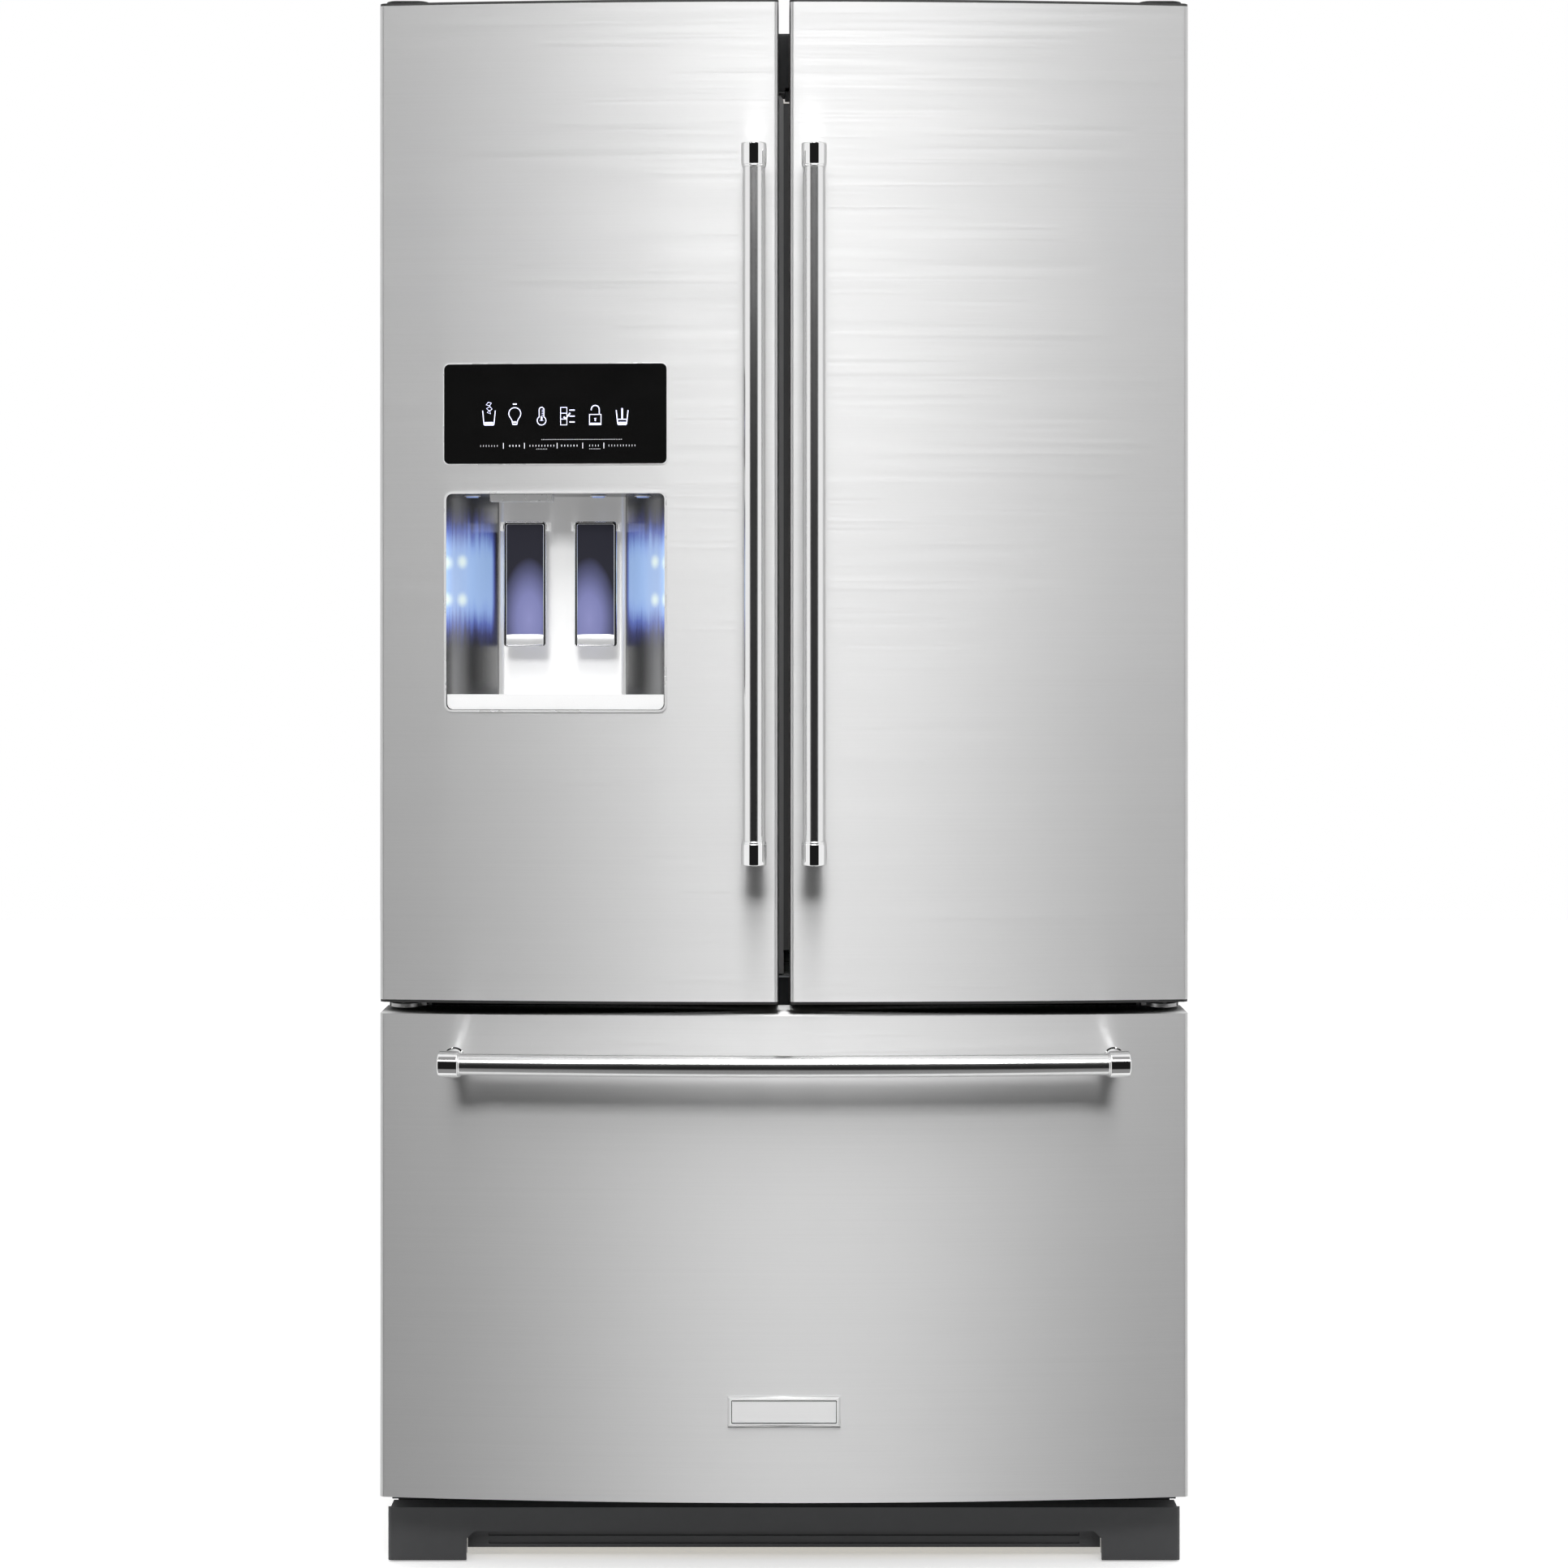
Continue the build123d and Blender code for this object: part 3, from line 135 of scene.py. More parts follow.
class Surface(Tree):
    """A Principled material whose patterns lie in the object's own space, in metres."""

    def __init__(self, name, color, roughness, metallic=0.0):
        self.slot = name
        self.material = bpy.data.materials.new(name + "_finish")
        self.material.use_nodes = True
        super().__init__(self.material.node_tree)
        self.shader = self.tree.nodes["Principled BSDF"]
        self.color = color if len(color) == 4 else (*color, 1)
        self.set("Base Color", self.color)
        self.set("Roughness", roughness)
        self.set("Metallic", metallic)
        self.material.diffuse_color = self.color
        self.place = self.add("TexCoord").outputs["Object"]

    def set(self, name, value):
        self.put(self.shader.inputs[name], value)

    def stretched(self, scale):
        return self.add("Mapping", None, Vector=self.place, Scale=scale).outputs["Vector"]

    def noise(self, scale, stretch=(1, 1, 1), detail=3.0):
        place = self.stretched(stretch)
        return self.add("TexNoise", None, Vector=place, Scale=scale, Detail=detail).outputs["Fac"]

    def axis(self, name):
        return self.add("SeparateXYZ", None, Vector=self.place).outputs[name]

    def shade(self, pattern, spread):
        """Varies the colour by plus or minus spread."""
        low = tuple(max(c * (1 - spread), 0) for c in self.color[:3]) + (1,)
        high = tuple(min(c * (1 + spread), 1) for c in self.color[:3]) + (1,)
        self.set("Base Color", self.blend(pattern, low, high))

    def gloss(self, pattern, low, high):
        """Varies the roughness between low and high."""
        node = self.add("MapRange", None, Value=pattern, To_Min=low, To_Max=high, From_Min=0.3, From_Max=0.7)
        self.set("Roughness", node.outputs["Result"])

    def bump(self, height, depth, strength=0.5):
        node = self.add("Bump", None, Height=height, Distance=depth, Strength=strength)
        self.set("Normal", node.outputs["Normal"])

    def grain(self, turn, anisotropy=1.0):
        """Brushing lines round the object's upright axis."""
        tangent = self.add("Tangent", {"direction_type": "RADIAL", "axis": "Z"})
        self.set("Tangent", tangent.outputs["Tangent"])
        self.shader.inputs["Anisotropic"].default_value = anisotropy
        self.shader.inputs["Anisotropic Rotation"].default_value = turn


# ---- materials ----
def brushed(name, tone, roughness, spread=0.05, stretch=(4, 4, 700), anisotropy=1.0):
    """Steel with fine level brushing, so that reflections smear upright."""
    s = Surface(name, grey(tone), roughness, 1.0)
    lines = s.noise(1.0, stretch, 6.0)
    clouds = s.noise(5.0, (1, 1, 1.6))
    s.shade(s.math("ADD", s.math("MULTIPLY", lines, 0.75), s.math("MULTIPLY", clouds, 0.25)), spread)
    s.gloss(lines, roughness - 0.04, roughness + 0.04)
    s.bump(lines, 0.00002, 0.25)
    s.grain(0.25, anisotropy)
    return s


def polished(name, tone, roughness=0.04):
    """Chrome with faint wiping marks."""
    s = Surface(name, grey(tone), roughness, 1.0)
    wipes = s.noise(9.0, (1, 1, 6), 5.0)
    s.shade(wipes, 0.03)
    s.gloss(wipes, roughness * 0.5, roughness * 1.8)
    return s


def satin(name, tone, roughness):
    """Satin metal with a very fine even grain and faint cloudiness."""
    s = Surface(name, grey(tone), roughness, 1.0)
    s.shade(s.noise(1200.0, detail=2.0), 0.04)
    s.gloss(s.noise(12.0, (1, 1, 0.4)), roughness - 0.02, roughness + 0.02)
    return s


def silvery(name, tone, roughness, metallic):
    """Bright silver lacquer over plastic or pressed steel."""
    s = Surface(name, grey(tone), roughness, metallic)
    flakes = s.noise(1400.0, detail=2.0)
    s.shade(flakes, 0.05)
    s.gloss(s.noise(30.0), roughness - 0.05, roughness + 0.05)
    s.bump(flakes, 0.00001)
    return s


def plated(name, color, roughness=0.38):
    """Zinc plated or painted pressed steel, slightly cloudy."""
    s = Surface(name, color, roughness, 0.85)
    clouds = s.noise(28.0, detail=6.0)
    s.shade(clouds, 0.18)
    s.gloss(clouds, roughness - 0.08, roughness + 0.1)
    s.bump(s.noise(900.0), 0.00002)
    return s


def painted(name, color, roughness, peel=420.0, depth=0.00006):
    """Paint or powder coat with a fine orange peel."""
    s = Surface(name, color, roughness)
    s.shade(s.noise(40.0, detail=5.0), 0.05)
    s.gloss(s.noise(40.0), roughness - 0.06, roughness + 0.06)
    s.bump(s.noise(peel, detail=2.0), depth)
    return s


def moulded(name, color, roughness, texture=900.0, depth=0.00004, spread=0.08):
    """Moulded plastic with a spark eroded texture."""
    s = Surface(name, color, roughness)
    s.shade(s.noise(11.0, detail=4.0), spread)
    s.gloss(s.noise(120.0), roughness - 0.05, roughness + 0.07)
    s.bump(s.noise(texture, detail=2.0), depth)
    return s


def rubber(name, color):
    s = moulded(name, color, 0.62, 1500.0, 0.00005, 0.12)
    s.shader.inputs["Sheen Weight"].default_value = 0.15
    return s


def galvanised(name):
    """Hot dipped sheet with a pattern of zinc crystals."""
    s = Surface(name, grey(0.52), 0.42, 0.8)
    cells = s.add("TexVoronoi", None, Vector=s.place, Scale=150.0)
    tone = s.add("SeparateColor", None, Color=cells.outputs["Color"]).outputs[0]
    s.shade(tone, 0.06)
    s.gloss(tone, 0.36, 0.48)
    return s


def foam(name):
    s = Surface(name, (0.78, 0.66, 0.38), 0.9)
    cells = s.add("TexVoronoi", None, Vector=s.place, Scale=260.0).outputs["Distance"]
    s.shade(cells, 0.2)
    s.bump(cells, 0.0006)
    return s


def pane(name, tint, roughness=0.02):
    """Clear glass or plastic with a faint haze."""
    s = Surface(name, tint, roughness)
    haze = s.noise(14.0, detail=5.0)
    s.shade(haze, 0.03)
    s.gloss(haze, roughness * 0.5, roughness * 2)
    s.shader.inputs["Transmission Weight"].default_value = 0.92
    s.shader.inputs["IOR"].default_value = 1.46
    return s


def lit(name, color, strength, cell=600.0):
    """A glowing lens with a fine prism pattern."""
    s = Surface(name, color, 0.25)
    prisms = s.add("TexVoronoi", None, Vector=s.place, Scale=cell).outputs["Distance"]
    s.set("Emission Color", s.blend(prisms, tuple(0.85 * c for c in color[:3]) + (1,), color))
    s.shader.inputs["Emission Strength"].default_value = strength
    s.bump(prisms, 0.0002)
    return s


def glossy_black(name, smudge=0.05):
    s = Surface(name, grey(0.005), 0.05)
    marks = s.noise(18.0, (1, 1, 2), 6.0)
    s.shade(marks, 0.3)
    s.gloss(marks, smudge * 0.6, smudge * 1.6)
    s.shader.inputs["Specular IOR Level"].default_value = 0.35
    return s


# ---- the niche's painted light ----
GLOW_HEIGHT = TRIM_LOW.z + 150.7 * MM
GLOW_REACH = 82 * MM
GLOW_EDGE = (73 * MM, 80 * MM)  # from the niche's middle
# Painted reflections of the niche's lamps: each is mm aside of the niche's middle and mm above the glow's.
LAMP_REFLECTION_SPOTS = ((109, 18), (109, -25), (122.5, 16), (122.5, -25))
LAMP_REFLECTION_REACH = 11 * MM
# Where the lamps' lavender light is painted on the paddles.
LAVENDER_LIGHT_ASIDE = 34 * MM
LAVENDER_LIGHT_RISE = 30 * MM  # above the paddles' feet
LAVENDER_LIGHT_HEIGHT = 75 * MM


def niche_wall(name):
    """The niche's smooth curved wall, with the lamps' light painted on both sides of it as emission."""
    s = Surface(name, grey(0.3), 0.22, 1.0)
    s.shade(s.noise(3.0, (1, 1, 0.3)), 0.12)
    s.grain(0.0, 0.6)
    across = s.math("ABSOLUTE", s.math("SUBTRACT", s.axis("X"), NICHE_X))
    height = s.axis("Z")
    streaks = s.math("MULTIPLY", s.math("SUBTRACT", s.noise(60.0, (3, 3, 0.2)), 0.5), 0.03)
    up = s.math("ADD", s.math("ABSOLUTE", s.math("SUBTRACT", height, GLOW_HEIGHT)), streaks)
    # Painted light: a blue band round the glow height, on both sides of the niche, stands for the lamps'
    # light on the wall.
    beam = s.math("SUBTRACT", 1.0, s.step(up, 0.02, GLOW_REACH))
    painted_glow = s.math("MULTIPLY", beam, s.step(across, *GLOW_EDGE))
    color = s.ramp(painted_glow, (
        (0.0, BLACK),
        (0.22, (0.02, 0.025, 0.12, 1)),
        (0.5, (0.09, 0.14, 0.48, 1)),
        (0.85, (0.3, 0.46, 0.86, 1)),
        (1.0, (0.36, 0.54, 0.9, 1)),
    ))
    # Painted reflections: near-white spots where the lamps would reflect in the glossy wall.
    for spot_aside, spot_rise in LAMP_REFLECTION_SPOTS:
        aside = s.math("POWER", s.math("SUBTRACT", across, spot_aside * MM), 2.0)
        above = s.math("POWER", s.math("SUBTRACT", height, GLOW_HEIGHT + spot_rise * MM), 2.0)
        away = s.math("SQRT", s.math("ADD", s.math("MULTIPLY", aside, 2.5), above))
        spot = s.math("SUBTRACT", 1.0, s.step(away, 1 * MM, LAMP_REFLECTION_REACH))
        color = s.blend(spot, color, (0.85, 1.0, 0.98, 1))
    # The painted glow and the painted lamp reflections go into the wall's emission.
    s.set("Emission Color", color)
    s.shader.inputs["Emission Strength"].default_value = 0.75
    return s


def back_plate(name):
    """The niche's brushed back plate, with the lamps' light painted on as emission, stronger towards its
    foot.
    """
    s = brushed(name, 0.8, 0.5, 0.04)
    low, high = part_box("dispenser_back_plate")
    painted_wash = s.step(s.axis("Z"), high.z, low.z + 20 * MM)
    # Painted light: emission standing for the lamps' light, brighter towards the plate's foot.
    s.set("Emission Color", s.blend(painted_wash, grey(0.26), grey(0.42)))
    s.shader.inputs["Emission Strength"].default_value = 1.0
    return s


def paddle_face(name):
    """Dark gloss plastic with the lamps' lavender light painted into its colour, low on its inner side."""
    s = glossy_black(name)
    aside = s.math("ABSOLUTE", s.math("SUBTRACT", s.axis("X"), NICHE_X))
    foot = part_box("ice_paddle")[0].z
    across = s.math("DIVIDE", s.math("SUBTRACT", aside, LAVENDER_LIGHT_ASIDE), LAVENDER_LIGHT_ASIDE)
    up = s.math("DIVIDE", s.math("SUBTRACT", s.axis("Z"), foot + LAVENDER_LIGHT_RISE), LAVENDER_LIGHT_HEIGHT)
    away = s.math("SQRT", s.math("ADD", s.math("POWER", across, 2.0), s.math("POWER", up, 2.0)))
    curve = s.math("ADD", away, s.math("MULTIPLY", s.noise(16.0), 0.1))
    # Painted light: the base colour turns lavender where the niche's lamps light the paddle, low and towards
    # its inner side.
    color = s.ramp(curve, (
        (0.0, (0.28, 0.29, 0.54, 1)),
        (0.45, (0.22, 0.23, 0.45, 1)),
        (0.75, (0.11, 0.115, 0.22, 1)),
        (1.0, (0.03, 0.03, 0.04, 1)),
    ))
    s.set("Base Color", color)
    return s


def make_materials():
    """One material for each of the record's slots."""
    made = [
        painted("cabinet_paint", (0.05, 0.052, 0.056), 0.42),
        galvanised("rear_sheet"),
        foam("insulation_foam"),
        moulded("white_liner", (0.82, 0.83, 0.84), 0.3, 500.0, 0.00003, 0.03),
        plated("hinge_steel", grey(0.42)),
        moulded("dark_plastic", (0.022, 0.023, 0.025), 0.5),
        moulded("grille_plastic", (0.055, 0.056, 0.058), 0.55),
        painted("track_steel", grey(0.72), 0.35),
        pane("shelf_glass", (0.86, 0.97, 0.93)),
        moulded("frame_plastic", (0.74, 0.75, 0.76), 0.4),
        lit("lamp_lens", (1.0, 0.97, 0.92, 1), 0.6),
        painted("chassis_steel", grey(0.03), 0.45),
        moulded("foot_plastic", grey(0.03), 0.5),
        moulded("roller_plastic", grey(0.35), 0.45),
        painted("compressor_paint", grey(0.015), 0.2, 200.0),
        painted("cover_paint", (0.09, 0.092, 0.095), 0.5),
        rubber("black_rubber", grey(0.018)),
        moulded("valve_plastic", (0.7, 0.71, 0.68), 0.4),
        plated("rail_steel", grey(0.6), 0.3),
        brushed("stainless", 0.85, 0.5),
        moulded("cap_plastic", grey(0.022), 0.5),
        rubber("gasket_rubber", grey(0.2)),
        satin("handle_steel", 0.88, 0.2),
        polished("handle_chrome", 0.93, 0.03),
        pane("clear_plastic", (0.93, 0.96, 0.98), 0.06),
        moulded("ice_housing", (0.78, 0.8, 0.82), 0.32, 500.0, 0.00003, 0.03),
        glossy_black("panel_glass"),
        niche_wall("well_plastic"),
        silvery("trim_chrome", 0.93, 0.3, 0.45),
        back_plate("niche_steel"),
        lit("lamp_blue", (0.3, 0.4, 0.7, 1), 0.25),
        silvery("chute_chrome", 0.8, 0.25, 0.4),
        paddle_face("paddle_plastic"),
        silvery("tray_silver", 0.95, 0.45, 0.2),
        moulded("mullion_plastic", grey(0.5), 0.5),
        brushed("badge_metal", 0.98, 0.5, 0.03, (4, 4, 1200)),
    ]
    return {s.slot: s.material for s in made}


def dress_nodes():
    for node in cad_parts.values():
        for socket in node.material_slots:
            socket.material = MATERIALS[socket.material.name.split(".")[0]]


# ---- shape helpers ----
def new_piece(mesh, name, body, slot):
    """Adds a mesh as a piece that rides on a body, in a slot's material."""
    bm = bmesh.new()
    bm.from_mesh(mesh)
    bmesh.ops.remove_doubles(bm, verts=bm.verts, dist=1e-6)
    bmesh.ops.recalc_face_normals(bm, faces=bm.faces)
    bm.to_mesh(mesh)
    bm.free()
    mesh.materials.clear()
    mesh.materials.append(MATERIALS[slot])
    piece = bpy.data.objects.new(name, mesh)
    bpy.context.scene.collection.objects.link(piece)
    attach(piece, body)
    return piece


def baked_curve(data, place):
    """A curve's mesh, each point moved by place(u, v, w)."""
    holder = bpy.data.objects.new("holder", data)
    bpy.context.scene.collection.objects.link(holder)
    graph = bpy.context.evaluated_depsgraph_get()
    mesh = bpy.data.meshes.new_from_object(holder.evaluated_get(graph))
    bpy.data.objects.remove(holder)
    for vertex in mesh.vertices:
        vertex.co = place(*vertex.co)
    return mesh


def plate(loops, thickness, edge, place):
    """A flat plate with holes, its edges rounded: loops are the outline and then the holes."""
    data = bpy.data.curves.new("plate", "CURVE")
    data.dimensions = "2D"
    data.fill_mode = "BOTH"
    data.extrude = thickness / 2 - edge
    data.bevel_depth = edge
    data.bevel_resolution = 2
    data.offset = -edge
    for points in loops:
        add_spline(data, points, True)
    return baked_curve(data, place)


def add_spline(data, points, closed, weight=1.0):
    spline = data.splines.new("POLY")
    spline.points.add(len(points) - 1)
    for point, (u, v) in zip(spline.points, points):
        point.co = (u, v, 0, 1)
        point.radius = weight
    spline.use_cyclic_u = closed


def wires(strokes, radius, place):
    """Round lines along strokes, each (points, closed, weight)."""
    data = bpy.data.curves.new("wires", "CURVE")
    data.dimensions = "3D"
    data.bevel_depth = radius
    data.bevel_resolution = 2
    data.use_fill_caps = True
    for points, closed, weight in strokes:
        add_spline(data, points, closed, weight)
    return baked_curve(data, place)


def arc(u, v, radius, start, end, steps=12):
    """Points on an arc, in degrees."""
    angles = [math.radians(start + (end - start) * i / steps) for i in range(steps + 1)]
    return [(u + radius * math.cos(a), v + radius * math.sin(a)) for a in angles]


def rounded(u0, u1, v0, v1, corner, spacing=0.02):
    """A round-cornered rectangle with points along its long sides."""
    corners = (
        arc(u1 - corner, v0 + corner, corner, -90, 0, 6),
        arc(u1 - corner, v1 - corner, corner, 0, 90, 6),
        arc(u0 + corner, v1 - corner, corner, 90, 180, 6),
        arc(u0 + corner, v0 + corner, corner, 180, 270, 6),
    )
    points = []
    for i, turn in enumerate(corners):
        points += turn
        start = Vector(turn[-1])
        run = Vector(corners[(i + 1) % 4][0]) - start
        count = int(run.length / spacing)
        points += [tuple(start + run * (k / (count + 1))) for k in range(1, count + 1)]
    return points


def lathe(profile, segments=32):
    """A turned shape: profile is (radius, height) in mm from bottom to top, closed at both ends."""
    bm = bmesh.new()
    rings = []
    for radius, height in profile:
        turns = [2 * math.pi * i / segments for i in range(segments)]
        reach = radius * MM
        rings.append([bm.verts.new((reach * math.cos(t), reach * math.sin(t), height * MM)) for t in turns])
    for low, high in zip(rings, rings[1:]):
        for i in range(segments):
            j = (i + 1) % segments
            bm.faces.new((low[i], low[j], high[j], high[i]))
    bm.faces.new(rings[0][::-1])
    bm.faces.new(rings[-1])
    mesh = bpy.data.meshes.new("lathe")
    bm.to_mesh(mesh)
    bm.free()
    return mesh


def joined(meshes_and_places):
    """One mesh from several, each with its own matrix."""
    bm = bmesh.new()
    for mesh, matrix in meshes_and_places:
        start = len(bm.verts)
        bm.from_mesh(mesh)
        bm.verts.ensure_lookup_table()
        bmesh.ops.transform(bm, matrix=matrix, verts=bm.verts[start:])
    made = bpy.data.meshes.new("joined")
    bm.to_mesh(made)
    bm.free()
    return made


def smooth(piece, angle=35):
    for polygon in piece.data.polygons:
        polygon.use_smooth = True
    with bpy.context.temp_override(object=piece, active_object=piece, selected_objects=[piece]):
        bpy.ops.object.shade_smooth_by_angle(angle=math.radians(angle))
    return piece


# ---- control panel ----
def on_panel(u, v, w):
    """Panel artwork: u and v are x and z, w stands out of the glass."""
    return (u, bow_y(u) - 0.4 * MM - w, v)


def filled(u0, u1, v0, v1):
    """Level strokes that fill a band."""
    return [([(u0, v), (u1, v)], False, 1.8) for v in (v0, v1)]


def glass_icon():
    glass = [(-7.1, 17), (-5.6, 1.6), (-4.7, 0.7), (4.7, 0.7), (5.6, 1.6), (7.1, 17)]
    chips = (
        [(-2.0, 14.8), (0.6, 17.2), (1.8, 13.2)],
        [(-2.8, 19.2), (1.2, 21.4), (3.6, 18.6), (0.6, 16.2)],
        [(-3.2, 23.4), (-0.8, 26.2), (2.8, 25.4), (0.6, 22.2)],
    )
    return [(glass, False, 1.1), *filled(-4.6, 4.6, 1.6, 3.4), *((chip, True, 0.8) for chip in chips)]


def bulb_icon():
    outline = arc(0, 13.4, 6.7, -42, 222, 24) + [(-3.1, 5.6), (-2.4, 1.2), (2.4, 1.2), (3.1, 5.6)]
    on_mark = ([(-2.2, 24), (2.2, 24)], False, 1.6)
    return [(outline, True, 1.1), *filled(-1.9, 1.9, 1.6, 4.0), on_mark]


def thermometer_icon():
    outline = arc(0, 5.5, 4.9, -238, 58, 22) + arc(0, 17.6, 2.7, 0, 180, 8)
    ticks = [([(0.2, v), (1.9, v)], False, 0.6) for v in (11.5, 13.4, 15.3, 17.2)]
    bulb = ([(0, 5.4), (0, 5.6)], False, 6.0)
    column = ([(0, 5.6), (0, 10)], False, 2.2)
    return [(outline, True, 1.1), bulb, column, *ticks]


def checklist_icon():
    boxes = [([(-8.2, v), (-1.2, v), (-1.2, v + 6.5), (-8.2, v + 6.5)], True, 1.1) for v in (0.6, 7.1, 13.6)]
    lines = [([(1.6, v), (7.6, v)], False, 1.5) for v in (3.8, 10.3, 17)]
    return boxes + lines + [([(-4.6, 9.6), (-2.6, 7.4), (2.4, 13.8)], False, 2.0)]


def padlock_icon():
    body = [(-6.4, 0.7), (6.4, 0.7), (6.4, 12.1), (-6.4, 12.1)]
    shackle = [(4.5, 12.1)] + arc(0, 17.6, 4.5, 0, 190, 14)
    keyhole = [([(0, 7.8), (0, 8.1)], False, 3.4), ([(0, 7.8), (0, 4.8)], False, 1.6)]
    return [(body, True, 1.3), (shackle, False, 1.3), ([(-5.6, 1.9), (5.6, 1.9)], False, 2.0), *keyhole]


def measure_icon():
    glass = [(-6.6, 16.8), (-4.9, 1.6), (-4.0, 0.7), (4.0, 0.7), (4.9, 1.6), (6.6, 16.8)]
    level = ([(-5.0, 6.6), (5.0, 6.6)], False, 1.2)
    ruler = ([(0, 7), (0, 19)], False, 2.2)
    return [(glass, False, 1.3), *filled(-4.0, 4.0, 1.6, 3.0), level, ruler]


# Places on the glass, in mm across from its middle and up from its foot.
ICONS = (
    ("icon_ice", -74, glass_icon),
    ("icon_light", -45, bulb_icon),
    ("icon_temperature", -15, thermometer_icon),
    ("icon_options", 14.5, checklist_icon),
    ("icon_lock", 45, padlock_icon),
    ("icon_fill", 75, measure_icon),
)
ICON_BASE = 42.6
ICON_LINE = 0.42 * MM
LABEL_HEIGHT = 20.1
LABELS = ((-83.5, -64.5), (-51, -39.5), (-28.3, -1), (7.2, 25), (38.6, 48.7), (60, 89.5))
SEPARATORS = (-57.8, -34.2, 2.4, 31, 54.6)
SEPARATOR_REACH = 3.2
SUB_LABELS = ((-20.8, -9, 16.4), (38.6, 50.4, 16.4), (-15, 74.5, 27))
BEZEL = 1.1 * MM
BEZEL_CORNER = 6 * MM


def printed(u, v, w):
    """Panel artwork that lies almost flat on the glass."""
    return on_panel(u, v, 0.2 * w + 0.25 * MM)


def on_glass(stroke, u=0, v=0):
    """A stroke in mm, moved by u and v from the glass's middle and foot."""
    points, closed, weight = stroke
    return [(PANEL_X + (u + a) * MM, PANEL_LOW.z + (v + b) * MM) for a, b in points], closed, weight


def dashes(u0, u1, v, length, gap, weight):
    """A row of short dashes that stands for a printed label."""
    count = max(round((u1 - u0 + gap) / (length + gap)), 1)
    pitch = (u1 - u0 + gap) / count
    for i in range(count):
        start = u0 + i * pitch
        yield on_glass(([(start, v), (start + pitch - gap, v)], False, weight))


def make_panel():
    for name, u, icon in ICONS:
        strokes = [on_glass(stroke, u, ICON_BASE) for stroke in icon()]
        piece = new_piece(wires(strokes, ICON_LINE, printed), name, "left_door", "lamp_lens")
        piece.data.materials[0] = ICON_LIGHT
    prints = []
    for u0, u1 in LABELS:
        prints += dashes(u0, u1, LABEL_HEIGHT, 0.5, 2.8, 2.5)
    for u0, u1, v in SUB_LABELS:
        prints += dashes(u0, u1, v, 0.6, 1.3, 0.9)
    for u in SEPARATORS:
        line = [(u, LABEL_HEIGHT - SEPARATOR_REACH), (u, LABEL_HEIGHT + SEPARATOR_REACH)]
        prints.append(on_glass((line, False, 0.8)))
    labels = new_piece(wires(prints, ICON_LINE, printed), "panel_labels", "left_door", "lamp_lens")
    labels.data.materials[0] = PRINT_WHITE
    x0, x1 = PANEL_LOW.x, PANEL_HIGH.x
    z0, z1 = PANEL_LOW.z, PANEL_HIGH.z
    outer = rounded(x0 - BEZEL, x1 + BEZEL, z0 - BEZEL, z1 + BEZEL, BEZEL_CORNER + BEZEL)
    inner = rounded(x0, x1, z0, z1, BEZEL_CORNER)
    bezel = plate((outer, inner), 0.9 * MM, 0.2 * MM, on_panel)
    smooth(new_piece(bezel, "panel_bezel", "left_door", "trim_chrome"))


# ---- dispenser ----
PADDLE_FRAME = 3.6 * MM
PADDLE_BAND = 14 * MM
FRAME_THICKNESS = 2.4 * MM
PADDLE_HALF_WIDTH = 24 * MM
SLOT_PITCH = 30 * MM
SLOT_ROW_PITCH = 19 * MM
SLOT_HALF_LENGTH = 11 * MM
SLOT_HALF_WIDTH = 1.5 * MM
LAMP_RADIUS = 7 * MM
SECOND_LAMP_ASIDE = 46 * MM


def bulged_strip(x0, x1, z0, z1, front, bulge):
    """A strip that bows forwards between its ends, with turned-back edges."""
    bm = bmesh.new()
    columns = 24
    rows = ((z0, 1.2 * MM), (z0 + 0.6 * MM, 0.2 * MM), (z0 + 1.6 * MM, 0), (z1 - 1.2 * MM, 0), (z1, 0.8 * MM))
    grid = []
    for z, back in rows:
        line = []
        for i in range(columns + 1):
            u = i / columns
            line.append(bm.verts.new((x0 + u * (x1 - x0), front + back - bulge * (1 - (2 * u - 1) ** 2), z)))
        grid.append(line)
    for low, high in zip(grid, grid[1:]):
        for i in range(columns):
            bm.faces.new((low[i], low[i + 1], high[i + 1], high[i]))
    mesh = bpy.data.meshes.new("strip")
    bm.to_mesh(mesh)
    bm.free()
    return mesh


def make_paddle_frames():
    for body in ("ice_paddle", "water_paddle"):
        low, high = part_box(body)
        centre = (low.x + high.x) / 2
        x0 = centre - PADDLE_HALF_WIDTH
        x1 = centre + PADDLE_HALF_WIDTH
        front = low.y

        def place(u, v, w):
            return (u, front - w, v)

        outer = rounded(x0, x1, low.z, high.z, 4 * MM, 1.0)
        edge = PADDLE_FRAME
        inner = rounded(x0 + edge, x1 - edge, low.z + edge / 2, high.z - edge, 1.6 * MM, 1.0)
        mesh = plate((outer, inner), FRAME_THICKNESS, 1.15 * MM, place)
        smooth(new_piece(mesh, body + "_frame", body, "handle_chrome"))
        lap = edge * 0.7
        foot = low.z + edge / 2
        band = bulged_strip(x0 + lap, x1 - lap, foot, low.z + PADDLE_BAND, front - 0.3 * MM, 0.9 * MM)
        smooth(new_piece(band, body + "_band", body, "trim_chrome"))


